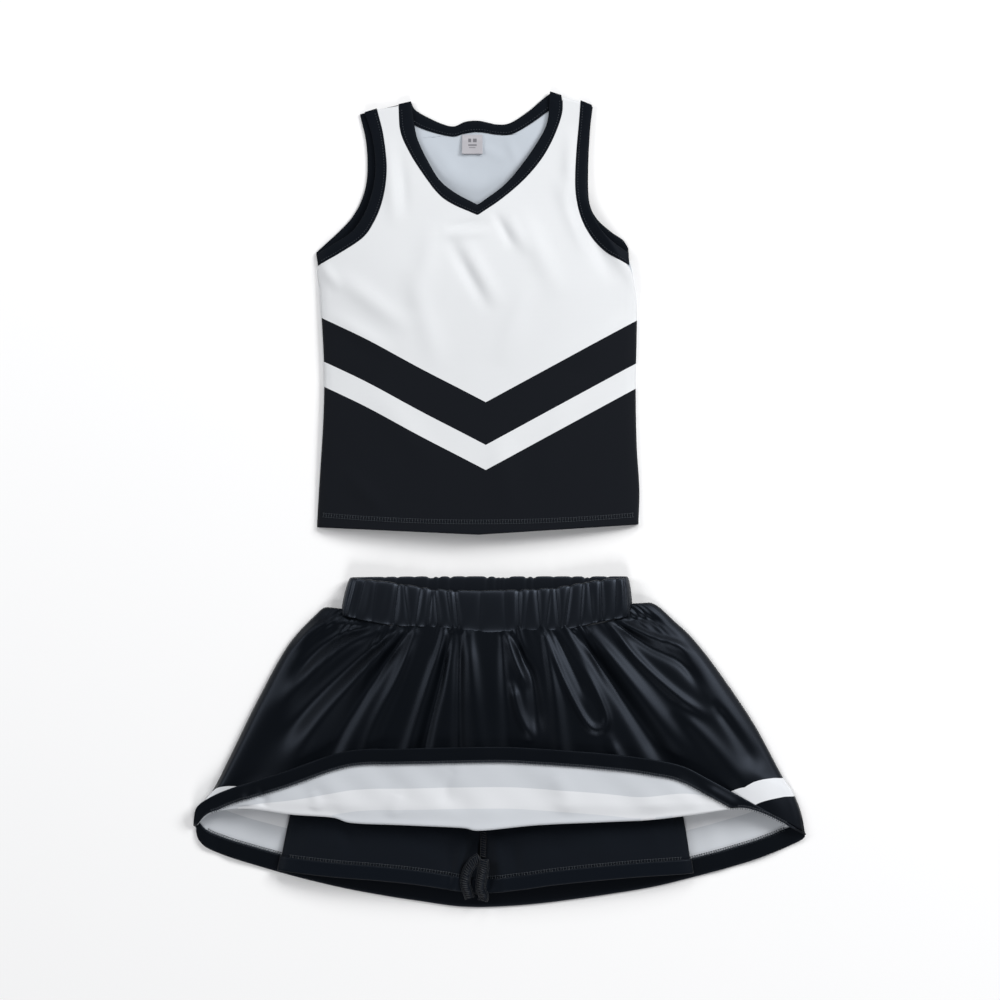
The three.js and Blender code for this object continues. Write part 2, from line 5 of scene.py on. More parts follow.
import bmesh
import bpy
import numpy as np
from mathutils import Matrix, Vector


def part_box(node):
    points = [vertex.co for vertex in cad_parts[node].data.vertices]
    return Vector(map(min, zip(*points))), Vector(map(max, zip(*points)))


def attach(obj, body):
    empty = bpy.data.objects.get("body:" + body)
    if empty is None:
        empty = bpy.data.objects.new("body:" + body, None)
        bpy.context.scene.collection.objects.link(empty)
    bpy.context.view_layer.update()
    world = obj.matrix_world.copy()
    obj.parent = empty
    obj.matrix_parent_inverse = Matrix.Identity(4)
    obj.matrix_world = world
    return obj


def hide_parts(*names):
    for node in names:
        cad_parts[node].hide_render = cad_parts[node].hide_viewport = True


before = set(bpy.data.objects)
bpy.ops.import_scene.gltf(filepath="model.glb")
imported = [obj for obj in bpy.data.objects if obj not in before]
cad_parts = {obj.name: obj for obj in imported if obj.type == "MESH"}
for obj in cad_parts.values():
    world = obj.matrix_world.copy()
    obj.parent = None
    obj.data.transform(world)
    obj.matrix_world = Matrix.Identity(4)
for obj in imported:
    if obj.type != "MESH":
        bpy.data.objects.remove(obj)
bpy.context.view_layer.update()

bl_info = {
    "name": "Cheer Uniform",
    "version": (1, 0, 0),
    "blender": (4, 5, 0),
    "location": "View3D > Sidebar > Uniform",
    "description": "Builds a shell top and a skirt with shorts out of cloth, bindings, elastic and thread",
    "category": "Object",
}

MM = 0.001
# The wearer's right lies towards -X.
SIDES = ((-1, "right"), (1, "left"))

# Where the two garments lie: the top's outlines are from its centre line and hem, the skirt's from the
# middle of its own box.
TOP_LOW, TOP_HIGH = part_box("top_back_panel")
TOP_X = (TOP_LOW.x + TOP_HIGH.x) / 2
TOP_Y = TOP_LOW.y + 7.5 * MM
SKIRT_LOW, SKIRT_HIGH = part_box("skirt_back_panel")
SKIRT_X = (SKIRT_LOW.x + SKIRT_HIGH.x) / 2
BAND_LOW, BAND_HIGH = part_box("waistband_casing")
LABEL_LOW, LABEL_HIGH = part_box("size_label")


# ---- Sizes and colours that a user would change ----

def length(name, description, value, high=1.0):
    return bpy.props.FloatProperty(
        name=name, description=description, default=value, min=0.0, max=high, unit="LENGTH", subtype="DISTANCE")


def colour(name, description, hexadecimal):
    return bpy.props.FloatVectorProperty(
        name=name, description=description, default=linear(hexadecimal), size=4, min=0.0, max=1.0,
        subtype="COLOR")


def linear(hexadecimal):
    """An sRGB hex colour as linear red, green, blue and alpha."""
    values = [int(hexadecimal[i:i + 2], 16) / 255 for i in (0, 2, 4)]
    return [v / 12.92 if v <= 0.04045 else ((v + 0.055) / 1.055) ** 2.4 for v in values] + [1.0]


class TopSettings(bpy.types.PropertyGroup):
    cloth: length("Cloth", "Thickness of the knit", 0.8 * MM, 0.01)
    binding: length("Binding", "Width of the folded binding", 12 * MM, 0.05)
    hem: length("Hem", "Height of the hem stitching over the edge", 13 * MM, 0.05)
    white: colour("White", "Unprinted knit", "dfe1e3")
    navy: colour("Navy", "Printed and dyed navy", "0b0f16")
    binding_navy: colour("Binding navy", "Dyed binding knit", "0a0e14")
    # Partly painted shade: the reverse is drawn darker and bluer than the white face, for the shade inside the
    # garment where the back shows through the neck.
    inside: colour("Inside", "Reverse of the printed knit", "bec5cd")
    thread: colour("Thread", "Sewing thread", "20272f")
    label: colour("Label", "Woven size label", "b2b0b5")


class SkirtSettings(bpy.types.PropertyGroup):
    cloth: length("Cloth", "Thickness of the satin knit", 0.7 * MM, 0.01)
    hem: length("Hem allowance", "Width of the turned-in hem", 16 * MM, 0.05)
    stripe_low: length("Stripe start", "Height of the white stripe over the hem", 42 * MM, 0.2)
    stripe_high: length("Stripe end", "Top of the white stripe over the hem", 66 * MM, 0.2)
    satin: colour("Satin", "Navy satin face", "020407")
    white: colour("White", "White stripe", "dfe1e4")
    reverse: colour("Reverse", "White reverse behind the navy print", "c8ccd1")
    reverse_stripe: colour("Reverse stripe", "White reverse behind the stripe", "dddfe2")
    reverse_high: colour("Upper reverse", "White reverse above the stripe", "d1d5da")
    shorts: colour("Shorts", "Shorts knit", "0a0f16")


# ---- Curves and surfaces ----

def smooth_curve(points):
    """A smooth curve through a few points in millimetres; t from 0 to 1 walks it at even speed, in metres."""
    marks = np.asarray(points, float) * MM
    ends = np.vstack([2 * marks[0] - marks[1], marks, 2 * marks[-1] - marks[-2]])
    t = np.linspace(0, 1, 24, endpoint=False)[:, None]
    spans = [0.5 * (2 * b + (c - a) * t + (2 * a - 5 * b + 4 * c - d) * t ** 2 + (3 * b - a - 3 * c + d) * t ** 3)
             for a, b, c, d in zip(ends[:-3], ends[1:-2], ends[2:-1], ends[3:])]
    return even_line(np.vstack(spans + [marks[-1:]]))


def even_line(line):
    """A line of points as a function of the share walked."""
    walked = np.r_[0, np.cumsum(np.linalg.norm(np.diff(line, axis=0), axis=1))]
    walked = walked / walked[-1]

    def at(t):
        return np.stack([np.interp(t, walked, line[:, i]) for i in range(line.shape[1])], -1)
    return at


def by_level(curve, knee, share):
    """A rising curve walked by its height: the knee height is reached at the given share."""
    line = curve(np.linspace(0, 1, 900))
    line = line[np.argsort(line[:, 1], kind="stable")]

    def at(t):
        y = np.interp(t, [0, share, 1], [line[0, 1], knee, line[-1, 1]])
        return np.stack([np.interp(y, line[:, 1], line[:, 0]), y], -1)
    return at


def shifted(curve, dx, dy):
    return lambda t: curve(t) + np.array([dx, dy])


def patch(top, bottom, left, right):
    """The surface between four edges: top and bottom run along +X, left and right run down."""
    start, end = np.zeros(1), np.ones(1)

    def at(u, v):
        across, along = np.asarray(u)[:, None], np.asarray(v)[:, None]
        edges = (1 - along) * top(u) + along * bottom(u) + (1 - across) * left(v) + across * right(v)
        corners = ((1 - across) * (1 - along) * top(start) + across * (1 - along) * top(end)
                   + (1 - across) * along * bottom(start) + across * along * bottom(end))
        return edges - corners
    return at


def ease(x, low, high):
    t = np.clip((np.asarray(x) - low) / (high - low), 0, 1)
    return t * t * (3 - 2 * t)


def at_height(xy, height):
    """Points in plan raised to a height, one for all or one for each."""
    return np.concatenate([xy, np.broadcast_to(height, xy.shape[:-1])[..., None]], -1)


def wander(seed, waves=6, lowest=1.0):
    """A smooth, repeatable random line between about -1 and 1."""
    draw = np.random.default_rng(seed)
    counts = lowest * (1 + np.arange(waves)) * draw.uniform(0.8, 1.25, waves)
    phases = draw.uniform(0, 2 * math.pi, waves)
    sizes = draw.uniform(0.5, 1.0, waves) / np.sqrt(1 + np.arange(waves))
    total = sizes.sum() * 0.6

    def at(t):
        t = np.asarray(t)[..., None]
        return (np.sin(2 * math.pi * counts * t + phases) * sizes).sum(-1) / total
    return at


def fold(x, y, start, end, width, rise):
    """A soft crease: a ridge along a line from start to end, in millimetres, that dies out at its ends."""
    a, b = np.array(start) * MM, np.array(end) * MM
    along = b - a
    share = ((x - a[0]) * along[0] + (y - a[1]) * along[1]) / along.dot(along)
    aside = ((x - a[0]) * along[1] - (y - a[1]) * along[0]) / np.linalg.norm(along)
    body = np.clip(np.sin(math.pi * np.clip(share, 0, 1)), 0, 1) ** 1.2
    return rise * MM * body * np.exp(-(aside / (width * MM)) ** 2)


# ---- Meshes ----

def grid(across, down, place, paint=None, weld=False):
    """A grid of cloth on a surface: place(u, v) gives its points, u across and v down."""
    bm = bmesh.new()
    bmesh.ops.create_grid(bm, x_segments=across, y_segments=down, size=0.5)
    flat = np.array([vert.co[:2] for vert in bm.verts])
    u, v = flat[:, 0] + 0.5, 0.5 - flat[:, 1]
    for vert, spot in zip(bm.verts, place(u, v)):
        vert.co = spot
    for name, value in (paint or {}).items():
        layer = bm.verts.layers.float.new(name)
        for vert, amount in zip(bm.verts, value(u, v)):
            vert[layer] = amount
    if weld:
        bmesh.ops.remove_doubles(bm, verts=bm.verts, dist=1e-6)
    return bm


def close_ends(bm):
    """Caps what is open and turns every face outwards."""
    edge = [e for e in bm.edges if e.is_boundary]
    if edge:
        bmesh.ops.holes_fill(bm, edges=edge, sides=0)
    bmesh.ops.recalc_face_normals(bm, faces=bm.faces)


def piece(name, bm, body, materials, replaces=()):
    """Makes the finished piece, lets it ride on its body and hides what it stands for."""
    mesh = bpy.data.meshes.new(name)
    bm.to_mesh(mesh)
    bm.free()
    obj = bpy.data.objects.new(name, mesh)
    bpy.context.scene.collection.objects.link(obj)
    mesh.shade_smooth()
    for material in materials:
        mesh.materials.append(material)
    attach(obj, body)
    if replaces:
        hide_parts(*replaces)
    return obj


def thicken(obj, thickness):
    """Gives cloth its thickness; the reverse takes the second material."""
    solid = obj.modifiers.new("cloth_thickness", "SOLIDIFY")
    solid.thickness = thickness
    solid.offset = 0
    solid.material_offset = 1
    return obj


def along_surface(place, step=1e-3):
    """The facing of a surface and its way down, at the given shares."""
    def at(u, v):
        east, west = place(np.minimum(u + step, 1), v), place(np.maximum(u - step, 0), v)
        south, north = place(u, np.minimum(v + step, 1)), place(u, np.maximum(v - step, 0))
        down = unit(south - north)
        return unit(np.cross(east - west, -down)), down
    return at


def unit(vectors):
    size = np.linalg.norm(vectors, axis=-1, keepdims=True)
    return vectors / np.maximum(size, 1e-12)


FOLD_ROWS = 5
ALLOWANCE_ROWS = 7


def hemmed(place, rows, allowance, step, side):
    """Continues a surface past its lower edge, round a fold and back by the hem allowance, a share of its
    way down for each u. Side +1 folds it over its facing. Returns the surface and its number of rows."""
    total = rows + FOLD_ROWS + ALLOWANCE_ROWS
    facing = along_surface(place)

    def at(u, v):
        row = np.asarray(v) * total
        turn = np.clip((row - rows) / FOLD_ROWS, 0, 1) * math.pi
        back = np.clip((row - rows - FOLD_ROWS) / ALLOWANCE_ROWS, 0, 1)
        main = np.minimum(row / rows, 1) - back * allowance(u)
        normal, down = facing(u, main)
        radius = step / 2
        shift = normal * (side * radius * (1 - np.cos(turn)))[:, None] + down * (radius * np.sin(turn))[:, None]
        return place(u, main) + shift
    return at, total


def evenly(share):
    """The same share of the way down all along an edge."""
    return lambda u: np.full(len(u), share)


def stitches(bm, line, pitch, size, turn=0.0, zigzag=False):
    """A row of short raised stitches along a line of points; size is length, width and height."""
    walk = np.linalg.norm(np.diff(line, axis=0), axis=1).sum()
    count = max(2, int(round(walk / pitch)))
    at = even_line(line)
    share = (np.arange(count) + 0.5) / count
    spots, heads = at(share), unit(at(np.minimum(share + 2e-3, 1)) - at(np.maximum(share - 2e-3, 0)))
    up = Vector((0, 0, 1))
    batches = []
    for first in range(0, count, 40):
        batch = bmesh.new()
        for i in range(first, min(first + 40, count)):
            ahead = Matrix.Rotation(-turn if zigzag and i % 2 else turn, 3, up) @ Vector(heads[i])
            aside = up.cross(ahead).normalized()
            above = ahead.cross(aside)
            axes = Matrix([ahead * size[0] / 2, aside * size[1] / 2, above * size[2] / 2]).transposed()
            place = Matrix.Translation(Vector(spots[i])) @ axes.to_4x4()
            bmesh.ops.create_uvsphere(batch, u_segments=6, v_segments=4, radius=1.0, matrix=place)
        batches.append(batch)
    merge([bm, *batches])


def hem_stitches(name, node_name, body, scene, line, sides, width, pitch, thread):
    """Coverstitch or overlock seen from above: close rungs of thread across a line, and its edge rows."""
    bm = bmesh.new()
    stitches(bm, line, pitch, (width, thread, thread), turn=math.radians(78), zigzag=True)
    for edge in sides:
        stitches(bm, beside(line, edge * width / 2), pitch, (pitch * 1.05, thread, thread * 0.9))
    piece(name, bm, body, [kit(scene).thread], [node_name])


def merge(bms):
    """Several meshes as the first one."""
    whole = bms[0]
    for extra in bms[1:]:
        mesh = bpy.data.meshes.new("part")
        extra.to_mesh(mesh)
        extra.free()
        whole.from_mesh(mesh)
        bpy.data.meshes.remove(mesh)
    return whole


def beside(line, distance):
    """The line moved to its left in plan."""
    ahead = np.gradient(line, axis=0)
    left = unit(np.stack([-ahead[:, 1], ahead[:, 0], np.zeros(len(line))], -1))
    return line + left * distance


# ---- Materials ----

def add(tree, kind, inputs=None, **settings):
    """Adds a node with its settings; an input is a value or another node's output."""
    made = tree.nodes.new(kind)
    for key, value in settings.items():
        setattr(made, key, value)
    for key, value in (inputs or {}).items():
        if isinstance(value, bpy.types.NodeSocket):
            tree.links.new(value, made.inputs[key])
        else:
            made.inputs[key].default_value = value
    return made


def blank(name):
    material = bpy.data.materials.new(name)
    material.use_nodes = True
    tree = material.node_tree
    tree.nodes.clear()
    return material, tree


def finish_surface(tree, base, height, strength, distance, **values):
    bump = add(tree, "ShaderNodeBump", {"Height": height, "Strength": strength, "Distance": distance})
    shader = add(tree, "ShaderNodeBsdfPrincipled", {"Base Color": base, "Normal": bump.outputs["Normal"], **values})
    add(tree, "ShaderNodeOutputMaterial", {"Surface": shader.outputs["BSDF"]})


# Scales of the waves that draw a knit's loops, 1.1 mm apart across the cloth and 1.35 mm down it.
KNIT_ACROSS, KNIT_DOWN = 285.886, 233.107


def knit_height(tree):
    """Fine knit: rows of loops as two crossed waves and a little fuzz."""
    place = add(tree, "ShaderNodeTexCoord").outputs["Object"]
    across, down = [
        add(tree, "ShaderNodeTexWave", {"Vector": place, "Scale": scale, "Distortion": 0.6},
            bands_direction=axis).outputs["Fac"]
        for scale, axis in ((KNIT_ACROSS, "X"), (KNIT_DOWN, "Y"))]
    both = add(tree, "ShaderNodeMath", {0: across, 1: down}, operation="MULTIPLY").outputs[0]
    fuzz = add(tree, "ShaderNodeTexNoise", {"Vector": place, "Scale": 900.0, "Detail": 3.0}).outputs["Fac"]
    return place, add(tree, "ShaderNodeMath", {0: both, 1: fuzz}, operation="ADD").outputs[0]


def varied(tree, place, base, amount, scale=14.0):
    """A colour with slow, slight changes of depth, as dyed cloth has."""
    if not isinstance(base, bpy.types.NodeSocket):
        base = tuple(base)[:3]
    noise = add(tree, "ShaderNodeTexNoise", {"Vector": place, "Scale": scale, "Detail": 4.0}).outputs["Fac"]
    depth = add(tree, "ShaderNodeMapRange", {"Value": noise, "To Min": 1 - amount, "To Max": 1 + amount})
    return add(tree, "ShaderNodeVectorMath", {0: base, "Scale": depth.outputs["Result"]},
               operation="SCALE").outputs["Vector"]


def zones(tree, stops):
    """Printed zones along the piece's own print height: each stop is a height in metres and a colour."""
    height = add(tree, "ShaderNodeAttribute", attribute_name="print_height").outputs["Fac"]
    ramp = add(tree, "ShaderNodeValToRGB", {"Fac": height})
    ramp.color_ramp.interpolation = "CONSTANT"
    elements = ramp.color_ramp.elements
    elements[0].position, elements[0].color = stops[0]
    elements[1].position, elements[1].color = stops[1]
    for position, shade in stops[2:]:
        elements.new(position).color = shade
    return ramp.outputs["Color"]


def printed_knit(name, stops, roughness=0.85, sheen=0.05):
    """Sublimation-printed polyester interlock: matt, fine loops, a faint bloom at grazing angles."""
    material, tree = blank(name)
    place, height = knit_height(tree)
    base = varied(tree, place, zones(tree, stops), 0.03)
    finish_surface(tree, base, height, 0.22, 0.12 * MM, **{
        "Roughness": roughness, "Sheen Weight": sheen, "Sheen Roughness": 0.5, "Specular IOR Level": 0.15})
    return material


def satin_knit(name, stops, gloss=0.29):
    """Satin-faced stretch knit: smooth floats that give broad, soft highlights along the folds."""
    material, tree = blank(name)
    place, height = knit_height(tree)
    base = varied(tree, place, zones(tree, stops), 0.06)
    finish_surface(tree, base, height, 0.08, 0.1 * MM, **{
        "Roughness": 0.43, "Specular IOR Level": gloss, "Specular Tint": linear("b9c6dc")})
    return material


def plain_knit(name, shade, roughness=0.6, sheen=0.04, bump=0.25):
    """Piece-dyed knit of one colour, with slight changes of depth."""
    material, tree = blank(name)
    place, height = knit_height(tree)
    base = varied(tree, place, shade, 0.08)
    finish_surface(tree, base, height, bump, 0.12 * MM, **{
        "Roughness": roughness, "Sheen Weight": sheen, "Sheen Roughness": 0.45, "Specular IOR Level": 0.12,
        "Specular Tint": linear("c4cede")})
    return material


def sewing_thread(name, shade):
    """Twisted polyester thread: a slight gloss, and a twist too fine to show, drawn at 0.6 mm."""
    material, tree = blank(name)
    place = add(tree, "ShaderNodeTexCoord").outputs["Object"]
    twist = add(tree, "ShaderNodeTexWave", {"Vector": place, "Scale": 520.0, "Distortion": 1.0},
                bands_direction="DIAGONAL").outputs["Fac"]
    base = varied(tree, place, shade, 0.12, 60.0)
    finish_surface(tree, base, twist, 0.3, 0.1 * MM, **{"Roughness": 0.5, "Specular IOR Level": 0.5})
    return material


def woven_elastic(name):
    """Knitted elastic web: white ribs 1.5 mm apart along its length."""
    material, tree = blank(name)
    place = add(tree, "ShaderNodeTexCoord").outputs["Object"]
    ribs = add(tree, "ShaderNodeTexWave", {"Vector": place, "Scale": 210.0}, bands_direction="Y").outputs["Fac"]
    base = varied(tree, place, linear("d9dcdf"), 0.05)
    finish_surface(tree, base, ribs, 0.5, 0.4 * MM, **{"Roughness": 0.8})
    return material


def label_satin(name, shade):
    """Woven label satin: pale, slightly glossy, with woven dark marks that say nothing."""
    material, tree = blank(name)
    place = add(tree, "ShaderNodeTexCoord").outputs["Object"]
    mark = add(tree, "ShaderNodeAttribute", attribute_name="mark").outputs["Fac"]
    mix = add(tree, "ShaderNodeMix", {0: mark, 6: shade, 7: linear("55545a")}, data_type="RGBA")
    weave = add(tree, "ShaderNodeTexWave", {"Vector": place, "Scale": 380.0}, bands_direction="X").outputs["Fac"]
    base = varied(tree, place, mix.outputs[2], 0.04, 80.0)
    finish_surface(tree, base, weave, 0.3, 0.1 * MM, **{
        "Roughness": 0.4, "Sheen Weight": 0.1, "Specular IOR Level": 0.5})
    return material


class Kit:
    """The materials, made once and shared by the pieces."""

    def __init__(self, top, skirt):
        self.top_face = printed_knit("printed_interlock_face", [
            (0.0, list(top.white)), (0.5, list(top.navy)),
            (0.5 + CHEVRON_NAVY, list(top.white)), (0.5 + CHEVRON_NAVY + CHEVRON_WHITE, list(top.navy))])
        # The reverse of the knit, in a colour that holds painted shade of the garment's inside.
        self.top_reverse_with_painted_shade = plain_knit("interlock_reverse_painted_shade", top.inside, 0.85, 0.2)
        self.binding = plain_knit("navy_binding_knit", top.binding_navy, 0.6, 0.0)
        self.thread = sewing_thread("navy_polyester_thread", top.thread)
        self.dark_thread = sewing_thread("gathering_thread", linear("0b0f15"))
        self.label = label_satin("woven_label_satin", top.label)
        low, high = skirt.stripe_low, skirt.stripe_high
        bands = [(0.0, list(skirt.satin)), (low, list(skirt.white)), (high, list(skirt.satin))]
        self.satin = satin_knit("navy_satin_knit", bands)
        self.casing = satin_knit("navy_satin_knit_drawn_tight", bands, 0.6)
        self.satin_reverse = printed_knit("satin_knit_reverse", [
            (0.0, list(skirt.reverse)), (low, list(skirt.reverse_stripe)),
            (high, list(skirt.reverse_high))], 0.85, 0.2)
        self.shorts = plain_knit("navy_shorts_knit", skirt.shorts, 0.42, 0.1, 0.15)
        self.shorts_reverse = plain_knit("shorts_knit_reverse", skirt.shorts, 0.8, 0.2)
        self.elastic = woven_elastic("white_elastic_web")


KIT = {}


def kit(scene):
    if not KIT:
        KIT["made"] = Kit(scene.uniform_top, scene.uniform_skirt)
    return KIT["made"]


# ---- The top ----

CHEVRON_POINT = (8.5 * MM, 140 * MM)
CHEVRON_SLOPE = (0.52, 0.545)
CHEVRON_NAVY = 43 * MM
CHEVRON_WHITE = 30.5 * MM

# Edges from the top's centre line and hem, in millimetres, each rising from the hem to the shoulder.
FRONT_OUTER = {
    -1: [(-177, 4), (-174, 55), (-170, 120), (-169, 170), (-171, 220), (-174, 262), (-175, 292), (-151, 305),
         (-127, 321), (-115, 338), (-107, 357), (-102, 380), (-101, 404), (-105, 436), (-111, 462)],
    1: [(176, 7), (177, 46), (174, 95), (173, 158), (174, 210), (174, 250), (168, 284), (157, 296), (141, 305),
        (127, 319), (116, 337), (110, 355), (107, 378), (108, 411), (111, 446), (113, 470)],
}
FRONT_NECK = {
    -1: [(0, 346), (-28, 358), (-45, 371), (-64, 397), (-76, 417), (-84, 439), (-87, 466)],
    1: [(0, 346), (26, 364), (50, 385), (70, 409), (84, 435), (92, 460), (93, 476)],
}
NECK_CLOTH = {
    -1: [(-87, 468), (-85, 439), *FRONT_NECK[-1][4:0:-1], (-1, 346)],
    1: [*FRONT_NECK[1][:-1], (91, 478)],
}
NECK_FREE = {
    -1: [(-74, 471), (-70, 445), (-66, 428), (-55, 405), (-42, 384), (-25, 370), (-1, 357)],
    1: [(0, 357), (8, 363), (29, 379), (47, 400), (65, 426), (76, 449), (79, 482)],
}
BACK_NECK_FREE = [(-74, 471), (-69, 462), (-56, 454), (-38, 446), (-26, 444), (-14, 449), (1, 450), (21, 446),
                  (36, 448), (56, 461), (70, 473), (79, 480)]
BACK_NECK_CLOTH = [(-84, 459), (-70, 446), (-51, 438), (-28, 433), (-16, 436), (1, 438), (22, 435), (38, 436),
                   (59, 448), (78, 462), (90, 471)]
ARM_CLOTH = {
    -1: [(-176, 291), *FRONT_OUTER[-1][7:-1], (-112, 463)],
    1: [(113, 472), *FRONT_OUTER[1][-2:6:-1], (166, 291)],
}
ARM_FREE = {
    -1: [(-178, 303), (-157, 315), (-138, 328), (-126, 345), (-119, 362), (-114, 383), (-113, 405), (-117, 434),
         (-125, 459)],
    1: [(125, 467), (123, 441), (120, 410), (119, 381), (121, 361), (126, 345), (136, 328), (148, 316),
        (161, 307), (165, 303)],
}
BACK_ARM_FREE = {
    -1: [(-178, 305), (-165, 317), (-150, 331), (-137, 346), (-127, 366), (-122, 390), (-123, 425), (-130, 457)],
    1: [(126, 465), (123, 439), (121, 397), (122, 362), (130, 343), (146, 328), (159, 319), (165, 310)],
}
BACK_ARM_CLOTH = {
    -1: [(-176, 291), (-157, 306), (-141, 322), (-126, 339), (-115, 364), (-110, 390), (-111, 423), (-118, 460)],
    1: [(115, 468), (111, 441), (109, 397), (110, 359), (120, 336), (137, 319), (152, 307), (166, 296)],
}


def top_plan(points):
    return shifted(smooth_curve(points), TOP_X, TOP_Y)


def front_height(xy):
    """How high the front lies: it meets the back at the side seams and shoulders, and is loose between."""
    x, y = xy[..., 0] - TOP_X, xy[..., 1] - TOP_Y
    side = np.interp(y, np.array([0, 60, 165, 260, 295, 480]) * MM, np.array([177, 175, 171, 175, 176, 176]) * MM)
    share = np.clip(np.abs(x) / side, 0, 1)
    reach = np.clip(1 - share, 0, 1) * side
    dome = 17 * MM * np.clip(1 - share ** 2, 0, 1) ** 0.8 * (1 - ease(y, 250 * MM, 450 * MM))
    roll = 3.0 * MM * np.sqrt(np.clip(reach / (9 * MM), 0, 1))
    height = 1.7 * MM + roll + dome
    for start, end, width, rise in TOP_FOLDS:
        height = height + fold(x, y, start, end, width, rise)
    return height


# Soft creases of the laid top: ends from the centre line and hem, half width and rise, in millimetres.
TOP_FOLDS = [
    ((-38, 330), (14, 340), 5, -2.2), ((-44, 322), (18, 328), 6, 1.8), ((16, 352), (40, 306), 5, -2.4),
    ((30, 350), (56, 300), 7, 2.2), ((-36, 326), (14, 236), 7, -3.0), ((-22, 326), (26, 240), 9, 2.6),
    ((-46, 340), (-70, 240), 12, 2.4), ((40, 360), (92, 252), 12, 2.8), ((-165, 288), (-70, 215), 11, 3.0),
    ((96, 372), (150, 270), 8, -4.2), ((112, 372), (176, 262), 7, 3.8), ((84, 392), (120, 300), 9, 2.8),
    ((-168, 240), (-90, 190), 9, 2.2), ((166, 240), (100, 176), 10, 2.4), ((-98, 436), (-92, 330), 8, 2.6),
    ((-86, 420), (-80, 340), 7, -2.0), ((102, 446), (98, 350), 8, 2.6), ((-120, 160), (-40, 60), 16, 2.0),
    ((110, 170), (60, 50), 16, 2.0), ((-150, 70), (-95, 10), 10, 1.8), ((20, 120), (36, 10), 14, 1.8),
    ((60, 280), (20, 180), 12, 2.0), ((-80, 300), (-40, 170), 12, 2.0), ((-176, 296), (-150, 262), 6, 2.2),
]


def on_front(xy, lift=0.0):
    return at_height(xy, front_height(xy) + lift)


UNDERARM, UNDERARM_SHARE = 300 * MM, 0.63
CENTRE_HEM = -4 * MM


def half_plan(outer, neck, neck_low, share):
    """Half a panel, level by level from its hem up: from its outer edge to the centre line, and from the
    given share of the way on to the neck."""
    out = by_level(outer, TOP_Y + UNDERARM, UNDERARM_SHARE)

    def at(u, v):
        rise = 1 - np.asarray(v)
        level = TOP_Y + CENTRE_HEM + (neck_low - CENTRE_HEM) * np.minimum(rise / share, 1)
        centre = np.stack([np.full(len(rise), TOP_X), level], -1)
        past = np.clip((rise - share) / (1 - share), 0, 1)
        inner = np.where((rise > share)[:, None], neck(past), centre)
        return out(rise) * (1 - u)[:, None] + inner * u[:, None]
    return at


def two_halves(outer, neck, neck_low, share):
    """The left and right half plans of a panel, both running along +X."""
    halves = []
    for side in (-1, 1):
        plan = half_plan(top_plan(outer[side]), top_plan(neck[side]), neck_low, share)
        halves.append(plan if side < 0 else lambda u, v, plan=plan: plan(1 - u, v))
    return halves


def chevron(xy):
    """Height under the chevron's upper edge, moved so that the edge itself is at 0.5."""
    x, y = xy[..., 0] - TOP_X - CHEVRON_POINT[0], xy[..., 1] - TOP_Y
    slope = np.where(x < 0, CHEVRON_SLOPE[0], CHEVRON_SLOPE[1])
    sway = 1.3 * MM * np.sin(x / (26 * MM)) * ease(-x, 20 * MM, 150 * MM)
    return 0.5 + (CHEVRON_POINT[1] + np.abs(x) * slope + sway) - y


HALF_COLUMNS = 62
PANEL_ROWS = 176
PANEL_LENGTH = 465 * MM
TOP_HEM_FOLD = 1.5 * MM


def build_front(scene):
    made = kit(scene)
    obj = build_split_panel("top_front_cloth", two_halves(FRONT_OUTER, FRONT_NECK, 346 * MM, 0.74), on_front, -1,
                            scene, [made.top_face, made.top_reverse_with_painted_shade], "top_front_panel")


def build_split_panel(name, halves, raise_up, hem_side, scene, materials, node_name):
    """A panel of two halves that meet on the centre line, with its hem turned in."""
    settings = scene.uniform_top
    bm = bmesh.new()
    for half in halves:
        surface = lambda u, v, half=half: raise_up(half(u, v))
        reach = evenly((settings.hem + 2 * MM) / PANEL_LENGTH)
        longer, rows = hemmed(surface, PANEL_ROWS, reach, TOP_HEM_FOLD, hem_side)
        merge([bm, grid(HALF_COLUMNS, rows, longer, {"print_height": lambda u, v: chevron(longer(u, v)[:, :2])})])
    bmesh.ops.remove_doubles(bm, verts=bm.verts, dist=0.3 * MM)
    return thicken(piece(name, bm, "top", materials, [node_name]), settings.cloth)


def build_back(scene):
    made = kit(scene)
    outer = {-1: FRONT_OUTER[-1][:6] + BACK_ARM_CLOTH[-1], 1: FRONT_OUTER[1][:6] + BACK_ARM_CLOTH[1][::-1]}
    neck = {-1: [(0, 438)] + BACK_NECK_CLOTH[:5][::-1], 1: [(0, 438)] + BACK_NECK_CLOTH[6:]}

    def flat(xy):
        x, y = xy[..., 0] - TOP_X, xy[..., 1] - TOP_Y
        relief = sum(fold(x, y, *line) for line in BACK_FOLDS)
        return at_height(xy, 0.6 * MM + relief)
    obj = build_split_panel("top_back_cloth", two_halves(outer, neck, 438 * MM, 0.9), flat, 1,
                            scene, [made.top_reverse_with_painted_shade, made.top_face], "top_back_panel")


# Soft creases of the back where it shows inside the neck.
BACK_FOLDS = [((-62, 438), (-14, 372), 9, 1.3), ((52, 444), (14, 352), 11, 1.3), ((-10, 430), (34, 404), 6, 0.9),
              ((30, 436), (46, 396), 5, 0.8), ((-40, 400), (20, 372), 10, 0.8)]


# The folded binding's section: share of the way from the cloth's edge to the free edge, and height in mm.
BINDING_SECTION = [(-0.04, 0.1), (-0.03, 0.75), (0.05, 1.05), (0.16, 0.98), (0.35, 1.12), (0.62, 1.15),
                   (0.85, 0.95), (0.97, 0.5), (1.0, 0.0), (0.97, -0.45), (0.85, -0.75), (0.5, -0.85),
                   (0.12, -0.8), (-0.03, -0.6), (-0.04, 0.1)]


